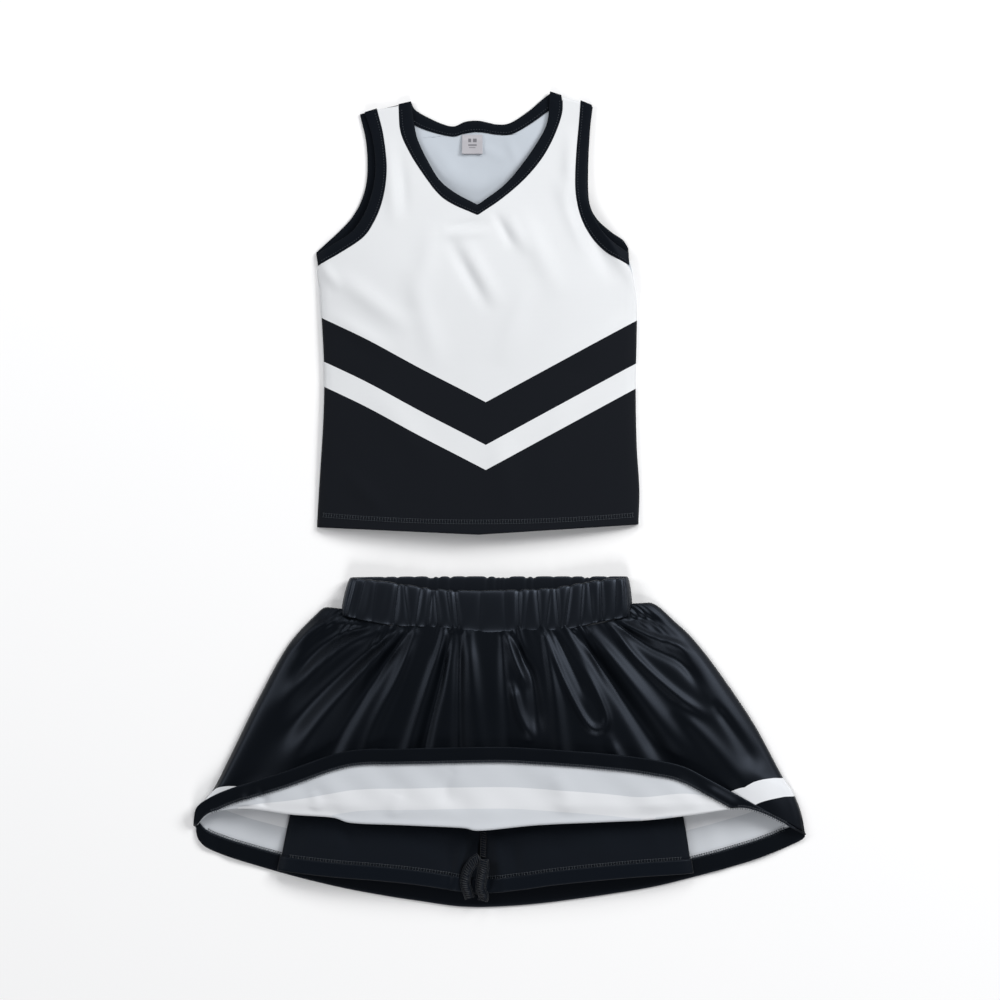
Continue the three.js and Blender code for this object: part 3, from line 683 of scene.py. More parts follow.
def binding_run(cloth_edge, free_edge, height, steps, lift=0.0):
    """A strip of folded binding between the cloth's edge and the free edge of an opening."""
    section = smooth_curve(BINDING_SECTION)
    pucker = wander(steps, 9, 7.0)

    def place(u, v):
        across, up = (section(v) / MM).T
        a, b = cloth_edge(u), free_edge(u)
        xy = a + (b - a) * across[:, None]
        level = height(xy) + lift + up * MM * (1 + 0.12 * pucker(u))
        return at_height(xy, level)
    bm = grid(steps, 28, place, weld=True)
    close_ends(bm)
    return bm


def two_runs(points):
    """The neck's two sides as one curve that turns at its point."""
    left, right = top_plan(points[-1]), top_plan(points[1])

    def at(s):
        first = (np.asarray(s) < 0.5)[..., None]
        return np.where(first, left(np.clip(2 * s, 0, 1)), right(np.clip(2 * s - 1, 0, 1)))
    return at


def bed(xy):
    return np.full(xy.shape[:-1], 1.0 * MM)


def topstitch(name, node_name, scene, edges, height):
    """The visible row of stitches just inside the binding's sewn edge."""
    t = np.linspace(0.02, 0.98, 240)
    cloth, free = (edge(t) for edge in edges)
    xy = cloth + (free - cloth) * 0.2
    bm = bmesh.new()
    stitches(bm, at_height(xy, height(xy) + 1.1 * MM), 3.0 * MM, (2.0 * MM, 0.8 * MM, 0.9 * MM))
    piece(name, bm, "top", [kit(scene).thread], [node_name])


def build_bindings(scene):
    made = kit(scene)
    neck = two_runs(NECK_CLOTH), two_runs(NECK_FREE)
    back = top_plan(BACK_NECK_CLOTH), top_plan(BACK_NECK_FREE)
    runs = [binding_run(*neck, front_height, 220), binding_run(*back, bed, 150, 0.15 * MM)]
    piece("neck_binding_cloth", merge(runs), "top", [made.binding], ["neck_binding"])
    for word, edges, height in (("front", neck, front_height), ("back", back, bed)):
        topstitch(f"neck_{word}_stitches", f"neck_topstitch_{word}", scene, edges, height)
    for side, word in SIDES:
        front = top_plan(ARM_CLOTH[side]), top_plan(ARM_FREE[side])
        behind = top_plan(BACK_ARM_CLOTH[side]), top_plan(BACK_ARM_FREE[side])
        runs = [binding_run(*front, front_height, 150), binding_run(*behind, bed, 120, 0.15 * MM)]
        piece(f"armhole_{word}_binding_cloth", merge(runs), "top", [made.binding],
              [f"armhole_binding_{word}"])
        topstitch(f"armhole_{word}_stitches", f"armhole_topstitch_{word}", scene, front, front_height)


def build_top_stitching(scene):
    t = np.linspace(-171, 171, 240)
    hem = scene.uniform_top.hem
    line = np.stack([TOP_X + t * MM, TOP_Y + hem + (-4 + 8 * (t / 176) ** 2) * MM], -1)
    hem_stitches("top_hem_front_stitches", "top_hem_stitch_front", "top", scene, on_front(line, 0.6 * MM),
                 (-1, 1), 4.2 * MM, 3.0 * MM, 0.85 * MM)
    hem_stitches("top_hem_back_stitches", "top_hem_stitch_back", "top", scene, at_height(line, 2.7 * MM),
                 (-1, 1), 3.4 * MM, 2.9 * MM, 0.6 * MM)


def seam_allowance(line, width, thickness, seed):
    """Two cloth edges overlocked together: a soft flat roll along a line."""
    ripple = wander(seed, 8, 6.0)
    at = even_line(line)

    def place(u, v):
        spot = at(u)
        ahead = unit(at(np.minimum(u + 2e-3, 1)) - at(np.maximum(u - 2e-3, 0)))
        left = unit(np.stack([-ahead[:, 1], ahead[:, 0], np.zeros(len(u))], -1))
        turn = 2 * math.pi * v
        aside = np.sign(np.cos(turn)) * np.abs(np.cos(turn)) ** 0.7 * width / 2
        rise = np.sin(turn) * thickness / 2 * (1 + 0.15 * ripple(u))
        return spot + left * aside[:, None] + np.array([0, 0, 1]) * rise[:, None]
    bm = grid(90, 14, place, weld=True)
    close_ends(bm)
    return bm


SEAM_WIDTH, SEAM_THICKNESS = 5.5 * MM, 1.9 * MM


def seam_piece(name, node_name, body, scene, line):
    """A seam allowance with overlock thread over it, in place of the plain bar of the frame."""
    made = kit(scene)
    bm = seam_allowance(line, SEAM_WIDTH, SEAM_THICKNESS, 3)
    for face in bm.faces:
        face.material_index = 1
    raised = line + np.array([0, 0, SEAM_THICKNESS / 2])
    stitches(bm, raised, 2.4 * MM, (SEAM_WIDTH * 0.96, 0.55 * MM, 0.45 * MM), turn=math.radians(76))
    piece(name, bm, body, [made.thread, made.binding], [node_name])


def straight(start, end, height, count=40):
    t = np.linspace(0, 1, count)[:, None]
    return at_height(np.array(start) * (1 - t) + np.array(end) * t, height)


def build_top_seams(scene):
    for side, word in SIDES:
        low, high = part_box(f"shoulder_seam_{word}")
        middle = (low.z + high.z) / 2
        peek = 3.5 * MM if side < 0 else -2.5 * MM
        outer, inner = (low.x, high.x) if side < 0 else (high.x, low.x)
        ends = ((outer, low.y + 4 * MM + peek), (inner, high.y - 4 * MM + peek))
        seam_piece(f"shoulder_{word}_seam", f"shoulder_seam_{word}", "top", scene, straight(*ends, middle))
        low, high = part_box(f"side_seam_{word}")
        x = (low.x + high.x) / 2 - side * 5 * MM
        seam_piece(f"side_{word}_seam", f"side_seam_{word}", "top", scene,
                   straight((x, low.y), (x, high.y - 12 * MM), (low.z + high.z) / 2, 60))


def build_label(scene):
    """The folded size label: sewn at its top edge, its lower end a soft shiny fold."""
    made = kit(scene)
    width, reach = LABEL_HIGH.x - LABEL_LOW.x, LABEL_HIGH.y - LABEL_LOW.y
    middle, top = (LABEL_HIGH.x + LABEL_LOW.x) / 2, LABEL_HIGH.y - 0.8 * MM
    rows, turn_rows = 26, 8
    total = 2 * rows + turn_rows

    def place(u, v):
        row = v * total
        down = np.clip(row / rows, 0, 1) - np.clip((row - rows - turn_rows) / rows, 0, 1)
        angle = np.clip((row - rows) / turn_rows, 0, 1) * math.pi
        radius = 0.75 * MM
        curl = 0.7 * MM * down ** 2 * (1 + 0.5 * np.cos(2 * math.pi * u))
        x = middle + (u - 0.5) * width * (0.97 + 0.02 * down)
        y = top - down * (reach - 2 * radius) - radius * np.sin(angle)
        z = LABEL_LOW.z + 0.35 * MM + curl + radius * (1 - np.cos(angle)) * (0.3 + 0.7 * ease(down, 0, 0.35))
        return np.stack([x, y, z], -1)

    def marks(u, v):
        """Two blocks and three short bars, woven dark."""
        row = v * total
        down = np.where(row > rows + turn_rows, 1 - (row - rows - turn_rows) / rows, -1.0)
        bars = ((0.3, 0.45, 0.22, 0.42), (0.53, 0.72, 0.22, 0.42), (0.3, 0.72, 0.52, 0.58), (0.34, 0.66, 0.66, 0.7))
        dark = np.zeros(len(u))
        for low_u, high_u, low_d, high_d in bars:
            dark[(u > low_u) & (u < high_u) & (down > low_d) & (down < high_d)] = 0.8
        return dark
    bm = grid(48, total, place, {"mark": marks})
    bmesh.ops.reverse_faces(bm, faces=bm.faces)
    obj = thicken(piece("size_label_cloth", bm, "label", [made.label, made.label], ["size_label"]),
                  0.35 * MM)


# ---- The skirt ----

WAIST_SEAM = [(-168, -127), (-150, -131), (-114, -134), (-64, -137), (-17, -142), (19, -142), (76, -138),
              (110, -131), (147, -127)]
LEFT_SIDE = [(-168, -127), (-189, -118), (-203, -127), (-234, -162), (-268, -224), (-292, -273), (-313, -315),
             (-324, -330), (-334, -345), (-334, -358)]
RIGHT_SIDE = [(147, -127), (160, -114), (172, -116), (191, -133), (211, -152), (238, -186), (278, -245),
              (309, -302), (322, -322), (331, -345), (335, -366)]
TURN = [(-334, -358), (-316, -342), (-276, -336), (-228, -341), (-184, -344), (-162, -350), (-113, -352),
        (-43, -355), (-21, -358), (42, -352), (110, -349), (160, -347), (199, -343), (255, -337), (282, -341),
        (317, -357), (335, -366)]
TURNED_HEM = [(-336, -357), (-332, -338), (-318, -327), (-296, -317), (-262, -306), (-234, -297), (-184, -279),
              (-153, -273), (-110, -272), (-9, -270), (42, -272), (110, -277), (160, -283), (198, -291),
              (228, -306), (262, -325), (294, -343), (336, -367)]
BACK_HEM = [(-334, -358), (-330, -374), (-310, -387), (-243, -408), (-184, -423), (-133, -433), (-88, -440),
            (-43, -446), (-1, -446), (58, -441), (154, -427), (211, -414), (278, -395), (329, -374), (335, -366)]


def skirt_plan(points):
    return shifted(smooth_curve(points), SKIRT_X, 0.0)


SKIRT_EDGES = [skirt_plan(points) for points in (WAIST_SEAM, TURN, LEFT_SIDE, RIGHT_SIDE)]
BODY_PLAN = patch(*SKIRT_EDGES)

# The waist seam's gathers bunch in clusters; each has its place along the seam, its half width in
# millimetres and its strength.
GATHER_CLUSTERS = [(-150, 9, 0.8), (-131, 8, 0.7), (-98, 11, 1.0), (-72, 6, 0.5), (-45, 13, 1.0), (10, 10, 1.0),
                   (38, 6, 0.5), (62, 12, 1.0), (92, 7, 0.5), (122, 11, 1.1), (141, 7, 0.8)]
GATHER_PITCH = 6.4 * MM

# Folds of the laid satin: the line each follows, its half width at the start and at the end, and its rise.
SATIN_FOLDS = [
    ([(-54, -147), (-66, -200), (-82, -265), (-96, -350)], 3.5, 8, -5.0),
    ([(-60, -147), (-76, -195), (-96, -262), (-120, -350)], 4, 11, 3.6),
    ([(-44, -147), (-45, -200), (-45, -265), (-43, -350)], 3.5, 8, -4.2),
    ([(-34, -147), (-30, -200), (-24, -270), (-14, -350)], 5, 17, 3.6),
    ([(-102, -146), (-133, -190), (-172, -252), (-205, -320)], 4, 13, -5.4),
    ([(-110, -146), (-146, -184), (-196, -240), (-240, -300)], 4, 13, 4.4),
    ([(-92, -146), (-112, -195), (-140, -255), (-160, -330)], 4, 12, 4.0),
    ([(-120, -146), (-158, -176), (-206, -222), (-250, -275)], 4, 11, -4.2),
    ([(-134, -143), (-170, -160), (-214, -196), (-252, -240)], 4, 12, 3.4),
    ([(-146, -140), (-176, -148), (-206, -170), (-232, -205)], 3, 8, -3.0),
    ([(-156, -136), (-186, -134), (-210, -146), (-230, -170)], 3, 8, 2.6),
    ([(8, -149), (17, -178), (32, -208)], 3, 5, 2.8),
    ([(2, -149), (4, -190), (8, -250), (12, -330)], 3, 11, -2.4),
    ([(14, -150), (26, -175), (36, -200), (44, -270)], 3, 9, -4.6),
    ([(14, -204), (22, -236), (38, -266)], 4, 7, 3.6),
    ([(48, -149), (58, -200), (66, -270), (72, -350)], 3, 13, 3.4),
    ([(51, -149), (70, -198), (92, -240), (106, -251), (117, -240), (102, -202), (80, -165)], 3.6, 4.6, 3.2),
    ([(62, -149), (82, -190), (98, -225)], 3, 6, -2.6),
    ([(84, -147), (110, -182), (150, -240), (196, -310)], 4, 13, -6.0),
    ([(100, -145), (136, -190), (180, -246), (222, -300)], 5, 17, 4.6),
    ([(122, -138), (152, -176), (196, -216), (238, -243)], 4, 6, 3.6),
    ([(126, -135), (162, -160), (200, -180), (226, -214)], 3, 7, -3.4),
    ([(132, -134), (166, -150), (196, -160), (214, -176)], 3, 5, 3.4),
    ([(140, -131), (160, -130), (180, -136)], 3, 5, -2.4),
    ([(196, -232), (226, -262), (258, -300), (280, -330)], 7, 14, 3.4),
    ([(236, -226), (262, -262), (286, -300)], 5, 10, -2.8),
    ([(120, -262), (136, -300), (150, -350)], 6, 11, 3.0),
]


def seam_place(u):
    """Where along the waist seam a length of the panel starts."""
    return SKIRT_EDGES[0](u)[:, 0] - SKIRT_X


def crease(x, y, points, start_width, end_width, rise):
    """A fold along a smooth line: sharp where it starts at the seam, wider and softer towards its end."""
    line = smooth_curve(points)(np.linspace(0, 1, 40)) + np.array([SKIRT_X, 0])
    nearest, share = np.full(len(x), np.inf), np.zeros(len(x))
    for i, (a, b) in enumerate(zip(line[:-1], line[1:])):
        along = b - a
        t = np.clip(((x - a[0]) * along[0] + (y - a[1]) * along[1]) / along.dot(along), 0, 1)
        away = np.hypot(x - a[0] - t * along[0], y - a[1] - t * along[1])
        closer = away < nearest
        nearest = np.where(closer, away, nearest)
        share = np.where(closer, (i + t) / (len(line) - 1), share)
    width = (start_width + (end_width - start_width) * share) * MM
    strength = (0.45 + 0.55 * ease(share, 0, 0.15)) * (1 - ease(share, 0.7, 1.0))
    return rise * MM * strength * np.exp(-(nearest / width) ** 2)


def satin_relief(xy, u, v):
    """Relief of the gathered front: bunched tucks under the waist seam that run out into long soft folds."""
    x, y = xy[:, 0], xy[:, 1]
    down, side = v * panel_length(u), np.minimum(u, 1 - u)
    start = seam_place(u)
    bunch = sum(strong * np.exp(-((start - at * MM) / (width * MM)) ** 2) for at, width, strong in GATHER_CLUSTERS)
    reach = (16 + 20 * np.clip(bunch, 0, 1)) * MM
    tuck = np.sin(2 * math.pi * start / GATHER_PITCH + 2.2 * wander(11, 6, 3.0)(u))
    gathered = 1.9 * MM * (0.25 + bunch) * (0.2 + 0.8 * ease(side, 0.02, 0.14))
    relief = gathered * tuck * np.exp(-down / reach) * (1 - np.exp(-down / (2.5 * MM)))
    for fold_line in SATIN_FOLDS:
        relief = relief + crease(x, y, *fold_line)
    slow = wander(23, 5, 2.0)(u + 0.05 * v)
    relief = relief + 2.2 * MM * slow * ease(v, 0.1, 0.7)
    return relief * ease(side, 0.0, 0.03) * (1 - 0.5 * ease(v, 0.93, 1.0))


def panel_length(u):
    """Length of the panel from the waist seam to its turn."""
    total, previous = np.zeros(len(u)), BODY_PLAN(u, np.zeros(len(u)))
    for v in np.linspace(0, 1, 13)[1:]:
        spot = BODY_PLAN(u, np.full(len(u), v))
        total = total + np.linalg.norm(spot - previous, axis=-1)
        previous = spot
    return total


def smooth_height(u, v):
    """The body's height without its folds: it rolls down to the back panel at the sides."""
    across = np.clip(1 - (2 * u - 1) ** 2, 0, 1) ** 0.6
    side = np.minimum(u, 1 - u) * 620 * MM * (0.4 + 0.6 * v)
    roll = 2.8 * MM * np.sqrt(np.clip(side / (9 * MM), 0, 1))
    return 1.6 * MM + roll + across * (13 + 11 * ease(v, 0, 0.5)) * MM


BODY_ROWS, TURN_ROWS, FLAP_ROWS = 92, 8, 36
FRONT_ROWS = BODY_ROWS + TURN_ROWS + FLAP_ROWS
TURN_RADIUS = 2.6 * MM
HEM_CURVE = skirt_plan(TURNED_HEM)


def flap_width(u):
    return np.linalg.norm(HEM_CURVE(u) - BODY_PLAN(u, np.ones(len(u))), axis=-1)


def front_rows(v):
    """Shares of the way down the body, round the turn and up the flap."""
    row = np.asarray(v) * FRONT_ROWS
    return (np.minimum(row / BODY_ROWS, 1), np.clip((row - BODY_ROWS) / TURN_ROWS, 0, 1) * math.pi,
            np.clip((row - BODY_ROWS - TURN_ROWS) / FLAP_ROWS, 0, 1))


def front_place(u, v):
    """The front panel from the waist seam down to its turn, round it and up again to the hem's edge."""
    down, turn, back = front_rows(v)
    width = flap_width(u)
    radius = TURN_RADIUS * ease(width, 0, 40 * MM)
    xy = BODY_PLAN(u, down)
    fold_relief = satin_relief(xy, u, down)
    xy = xy + (HEM_CURVE(u) - xy) * back[:, None]
    xy[:, 1] -= radius * np.sin(turn)
    under = smooth_height(u, np.clip(down - 0.8 * back * width / panel_length(u), 0, 1))
    keep = 1 - 0.75 * ease(back, 0, 0.5)
    billow = ease(width, 15 * MM, 70 * MM) * ease(back, 0, 0.25)
    waves = 2.6 + 1.2 * wander(47, 6, 2.5)(u) + 1.1 * np.sin(math.pi * back) * wander(53, 5, 3.0)(u + 0.1 * back)
    lift = radius * (1 - np.cos(turn)) + billow * waves * MM
    for line in FLAP_FOLDS:
        lift = lift + ease(back, 0, 0.15) * crease(xy[:, 0], xy[:, 1], *line)
    return at_height(xy, under + fold_relief * keep + lift)


# Soft dents of the turned-up flap.
FLAP_FOLDS = [
    ([(-50, -290), (-60, -312), (-56, -338)], 6, 9, -1.8),
    ([(-262, -318), (-258, -328), (-262, -338)], 5, 5, -2.4),
    ([(-275, -322), (-278, -332), (-286, -340)], 6, 6, 2.2),
    ([(-205, -318), (-200, -332), (-206, -342)], 6, 7, 1.6),
    ([(-110, -320), (-116, -338), (-112, -352)], 7, 9, 1.4),
    ([(60, -300), (72, -322), (66, -345)], 9, 12, 1.6),
    ([(190, -306), (214, -322), (232, -334)], 7, 8, -1.8),
    ([(226, -316), (244, -326), (262, -338)], 5, 6, 1.8),
]


def turned_allowance(width):
    """The hem allowance covers its own width of the flap, and all of the flap where it is narrower."""
    return lambda u: FLAP_ROWS / FRONT_ROWS * np.clip(width / np.maximum(flap_width(u), 1 * MM), 0, 0.97)


def front_print(u, v):
    """Height of a point of the cloth over the hem's edge, measured along the cloth. The turned-up hem pulls
    the print towards both corners."""
    down, turn, back = front_rows(v)
    right = 1 - np.asarray(u)
    corner = 21 * MM * (1 - ease(u, 0.06, 0.3)) + 360 * MM * np.minimum(right, 0.1) * (1 - ease(right, 0.1, 0.3))
    return flap_width(u) * (1 - back) + (1 - down) * panel_length(u) + corner


SKIRT_HEM_FOLD = 1.4 * MM


def hemmed_front(settings):
    """The front's surface with its hem allowance, and its number of rows."""
    return hemmed(front_place, FRONT_ROWS, turned_allowance(settings.hem), SKIRT_HEM_FOLD, -1)


def build_skirt_front(scene):
    settings = scene.uniform_skirt
    made = kit(scene)
    longer, total = hemmed_front(settings)

    def height(u, v):
        return front_print(u, np.minimum(v * total / FRONT_ROWS, 1))
    bm = grid(300, total, longer, {"print_height": height})
    obj = piece("skirt_front_cloth", bm, "skirt", [made.satin, made.satin_reverse],
                ["skirt_front_panel"])
    thicken(obj, settings.cloth)


def back_place(u, v):
    xy = BACK_PLAN(u, v)
    waves = 0.7 * (1 + np.sin(2 * math.pi * (9 * u + 0.5 * wander(61)(u)))) * ease(v, 0.1, 0.5)
    return at_height(xy, (0.55 + waves * ease(np.abs(2 * u - 1), 0.5, 0.8)) * MM)


BACK_PLAN = patch(SKIRT_EDGES[0], skirt_plan(BACK_HEM), SKIRT_EDGES[2], SKIRT_EDGES[3])


BACK_ROWS, BACK_LENGTH = 100, 300 * MM


def hemmed_back(settings):
    """The back's surface, facing down, with its hem allowance, and its number of rows."""
    surface = lambda u, v: back_place(1 - u, v)
    return hemmed(surface, BACK_ROWS, evenly(settings.hem / BACK_LENGTH), SKIRT_HEM_FOLD, -1)


def build_skirt_back(scene):
    settings = scene.uniform_skirt
    made = kit(scene)
    longer, total = hemmed_back(settings)
    paint = {"print_height": lambda u, v: BACK_LENGTH * (1 - np.minimum(v * total / BACK_ROWS, 1))}
    bm = grid(190, total, longer, paint)
    obj = piece("skirt_back_cloth", bm, "skirt", [made.satin, made.satin_reverse],
                ["skirt_back_panel"])
    thicken(obj, settings.cloth)


# Creases of the gathered casing in front and behind: place along the band, strength, and lean from foot to top.
FRONT_PLEATS = [(-152, 0.5, 2), (-138, 0.35, 1), (-115, 1.0, 2), (-103, 0.6, -3), (-91, 0.7, 3), (-78, 1.1, 2),
                (-70, 1.0, -2), (-56, 0.6, -3), (-48, 1.2, -2), (-22, 0.25, 1), (6, 0.3, -1), (21, 1.3, 0),
                (30, 0.5, 3), (43, 0.9, -2), (53, 0.6, 3), (64, 1.1, -2), (75, 1.0, 3), (90, 0.7, 2),
                (101, 0.5, -2), (112, 1.2, 0), (127, 0.5, 2), (139, 0.7, -1)]
BACK_PLEATS = [(-128, 0.4, 0), (-114, 0.6, 0), (-95, 0.4, 0), (-80, 1.2, 2), (-74, 1.0, -1), (-68, 0.9, 0),
               (-55, 1.0, 0), (-38, 0.4, 0), (-14, 1.1, 0), (-4, 1.1, 0), (1, 0.9, 0), (6, 1.0, 0), (10, 0.8, 0),
               (30, 1.2, 0), (38, 1.2, 0), (60, 0.4, 0), (80, 0.6, 0), (95, 1.1, 0), (100, 1.0, 0), (120, 0.5, 0)]


def pinch(x, share, pleats, width=2.6):
    """How far the casing is drawn in by its creases at a place along the band."""
    drawn = np.zeros(len(x))
    for at, strength, lean in pleats:
        middle = (at + lean * (share - 0.5) * 2) * MM
        drawn = drawn + strength * np.exp(-np.abs((x - middle) / (width * MM)) ** 1.4)
    return np.clip(drawn, 0, 1)


def band_loop(angle, share, out):
    """A point of the band: round the waist by angle, up by share of its height, and out from its middle."""
    middle = (BAND_LOW.x + BAND_HIGH.x) / 2
    half = (BAND_HIGH.x - BAND_LOW.x) / 2 - 2.2 * MM
    level = (BAND_LOW.z + BAND_HIGH.z) / 2
    deep = (BAND_HIGH.z - BAND_LOW.z) / 2 - 2.4 * MM
    side, front = np.cos(angle), np.sin(angle)
    z = level + deep * np.sign(front) * np.abs(front) ** 0.4
    slope = unit(np.stack([side * deep, np.sign(front) * np.abs(front) ** 0.6 * half], -1))
    along = np.clip((side + 1) / 2, 0, 1)
    foot, high, low = (curve(along)[:, 1] for curve in (BAND_FOOT, BAND_BACK_TOP, BAND_FRONT_TOP))
    top = high + (low - high) * np.clip(front, 0, 1) ** 0.35
    x = middle + half * side + (1 - share) * np.abs(side) ** 5 * np.where(side < 0, -9, 4) * MM
    return np.stack([x + slope[:, 0] * out, foot + (top - foot) * share, z + slope[:, 1] * out], -1)


# The casing's edges: its seam, and its top behind and in front.
BAND_FOOT = skirt_plan([(-168, -126), (-150, -131), (-114, -137), (-64, -139), (-17, -144), (19, -143), (76, -141),
                        (110, -134), (147, -127)])
BAND_BACK_TOP = skirt_plan([(-162, -86), (-80, -85), (0, -85), (80, -85), (140, -85)])
BAND_FRONT_TOP = skirt_plan([(-162, -87), (-117, -92), (-74, -98), (-31, -100), (17, -99), (62, -97), (110, -89),
                             (140, -86)])


# The casing is cut from the plain satin well above the stripe.
BAND_PRINT_HEIGHT = 0.3


def build_waistband(scene):
    """The casing: satin gathered round the elastic, laid flat as a loop, and the elastic inside it."""
    made = kit(scene)

    def place(u, v):
        angle, turn = 2 * math.pi * u, 2 * math.pi * v
        share = (1 - np.cos(turn)) / 2
        x = (BAND_LOW.x + BAND_HIGH.x) / 2 + (BAND_HIGH.x - BAND_LOW.x) / 2 * np.cos(angle)
        drawn = np.where(np.sin(angle) > 0, pinch(x, share, FRONT_PLEATS), pinch(x, share, BACK_PLEATS, 2.2))
        outside = np.sin(turn) > 0
        fat = np.sign(np.sin(turn)) * np.abs(np.sin(turn)) ** 0.5
        swell = (4.6 - 2.6 * drawn + 0.9 * wander(71, 9, 5.0)(u + 0.01 * share)) * MM
        inner = (2.2 - 0.4 * drawn) * MM
        spot = band_loop(angle, share, fat * np.where(outside, np.maximum(swell, 1.6 * MM), inner))
        spot[:, 1] += (1.2 - 2.0 * drawn) * MM * share ** 5 - 1.6 * MM * (1 - drawn) * (1 - share) ** 4 * outside
        spot[:, 2] = np.maximum(spot[:, 2], 0.4 * MM)
        return spot
    bm = grid(820, 40, place, {"print_height": lambda u, v: np.full(len(u), BAND_PRINT_HEIGHT)}, weld=True)
    bmesh.ops.recalc_face_normals(bm, faces=bm.faces)
    obj = piece("waistband_cloth", bm, "skirt", [made.casing], ["waistband_casing"])
    casing = obj.modifiers.new("cloth_thickness", "SOLIDIFY")
    casing.thickness = 0.5 * MM
    casing.offset = -1

    def web(u, v):
        turn = 2 * math.pi * v
        share = 0.5 - 0.37 * np.sign(np.cos(turn)) * np.abs(np.cos(turn)) ** 0.4
        return band_loop(2 * math.pi * u, share, 0.5 * MM * np.sign(np.sin(turn)) * np.abs(np.sin(turn)) ** 0.6)
    bm = grid(200, 16, web, weld=True)
    bmesh.ops.recalc_face_normals(bm, faces=bm.faces)
    piece("waist_elastic_web", bm, "skirt", [made.elastic], ["waist_elastic"])
    thread_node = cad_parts["waist_seam_thread"]
    thread_node.data.materials.clear()
    thread_node.data.materials.append(made.dark_thread)


# The shorts' edges in plan: outer folds, hems and the centre seam down to the crotch.
SHORTS_OUTER = {
    -1: [(-150, -134), (-186, -220), (-212, -290), (-228, -345), (-241, -406)],
    1: [(128, -134), (160, -220), (184, -290), (199, -348), (209, -409)],
}
SHORTS_INNER = {
    -1: [(-12, -145), (-16, -240), (-19.5, -330), (-20.5, -372), (-23, -398), (-27, -431)],
    1: [(-11, -145), (-15, -240), (-18.5, -330), (-19.5, -372), (-22, -398), (-26, -432)],
}
SHORTS_HEM = {
    -1: [(-241, -406), (-184, -412), (-133, -416), (-88, -421), (-27, -431)],
    1: [(209, -409), (154, -412), (106, -416), (58, -421), (25, -426), (-26, -432)],
}
SHORTS_TOP = {
    -1: [(-150, -134), (-100, -138), (-50, -142), (-12, -145)],
    1: [(128, -134), (80, -140), (30, -144), (-10, -145)],
}
LEG_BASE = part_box("shorts_left_leg")[0].z + 0.5 * MM
LEG_FOLD = 3.9 * MM
CROTCH = 0.82
# Shares of the way round a leg that its front and its outer fold take, and of the way down that its hem takes.
LEG_FACE, LEG_TURN = 0.47, 0.06
LEG_ROWS, LEG_HEM = 84, 15 / 285


def leg_rise(share, down):
    body = np.clip(1 - (1 - share) ** 2, 0, 1) ** 0.6
    leg = np.clip(4 * share * (1 - share), 0, 1) ** 0.6
    split = ease(down, 0.6, CROTCH)
    return 11 * MM * (0.4 + 0.6 * down) * (body + (leg - body) * split)


def leg_surface(side):
    """Round a leg of the shorts: from the inner edge over the front, round the outer fold and back under."""
    plan = patch(*[skirt_plan(edges[side]) for edges in (SHORTS_TOP, SHORTS_HEM, SHORTS_OUTER, SHORTS_INNER)])

    def at(u, v):
        front = np.clip(u / LEG_FACE, 0, 1)
        back = np.clip((u - LEG_FACE - LEG_TURN) / (1 - LEG_FACE - LEG_TURN), 0, 1)
        turn = np.clip((u - LEG_FACE) / LEG_TURN, 0, 1) * math.pi
        share = np.where(back > 0, back, 1 - front)
        spot = plan(share, v)
        creases = leg_creases(spot[:, 0] - SKIRT_X, spot[:, 1], side) * np.clip(8 * share, 0.1, 1)
        rise = np.where(back > 0, 0, leg_rise(share, v) + creases)
        radius = LEG_FOLD / 2
        x = spot[:, 0] + side * radius * np.sin(turn)
        z = LEG_BASE + radius + rise + radius * np.cos(turn)
        return np.stack([x, spot[:, 1], z], -1)
    return at


# Creases of the shorts: ends, half width and rise, in millimetres. Both legs bunch beside the crotch.
LEG_CREASES = {
    -1: [((-36, -356), (-44, -404), 5, 3.2), ((-42, -384), (-52, -438), 4.5, 3.6),
         ((-30, -380), (-38, -444), 3, -3.0), ((-52, -362), (-58, -425), 5, -2.4),
         ((-30, -372), (-95, -360), 7, 1.8), ((-60, -392), (-120, -380), 9, 1.2),
         ((-160, -346), (-166, -392), 8, -2.2), ((-172, -346), (-184, -398), 9, 1.8),
         ((-205, -350), (-222, -400), 9, 1.2), ((-236, -360), (-150, -392), 14, 1.0)],
    1: [((-8, -358), (2, -408), 6, 3.4), ((-4, -384), (6, -436), 5, 3.0), ((-15, -384), (-10, -446), 3, -3.0),
        ((12, -358), (20, -424), 6, -2.4), ((-8, -372), (60, -360), 7, 1.8), ((20, -398), (90, -386), 9, 1.3),
        ((110, -352), (120, -405), 14, 1.6), ((60, -356), (70, -402), 10, -1.4), ((165, -350), (180, -400), 10, 1.4)],
}


def leg_creases(x, y, side):
    return sum(fold(x, y, *line) for line in LEG_CREASES[side])


def build_shorts(scene):
    made = kit(scene)
    settings = scene.uniform_skirt
    for side, word in SIDES:
        surface = leg_surface(side)
        place = (lambda u, v, s=surface: s(1 - u, v)) if side > 0 else surface
        longer, total = hemmed(place, LEG_ROWS, evenly(LEG_HEM), SKIRT_HEM_FOLD, -1)
        bm = grid(150, total, longer)
        obj = piece(f"shorts_{word}_cloth", bm, "skirt", [made.shorts, made.shorts_reverse],
                    [f"shorts_{word}_leg"])
        thicken(obj, settings.cloth)
        share = np.linspace(0.97, 0.03, 120)
        row = surface(LEG_FACE * (1 - share), np.full(120, 1 - LEG_HEM)) + np.array([0, 0, 0.6 * MM])
        hem_stitches(f"shorts_{word}_hem_stitches", f"shorts_hem_stitch_{word}", "skirt", scene, row,
                     (-1, 1), 5.4 * MM, 3.1 * MM, 1.0 * MM)


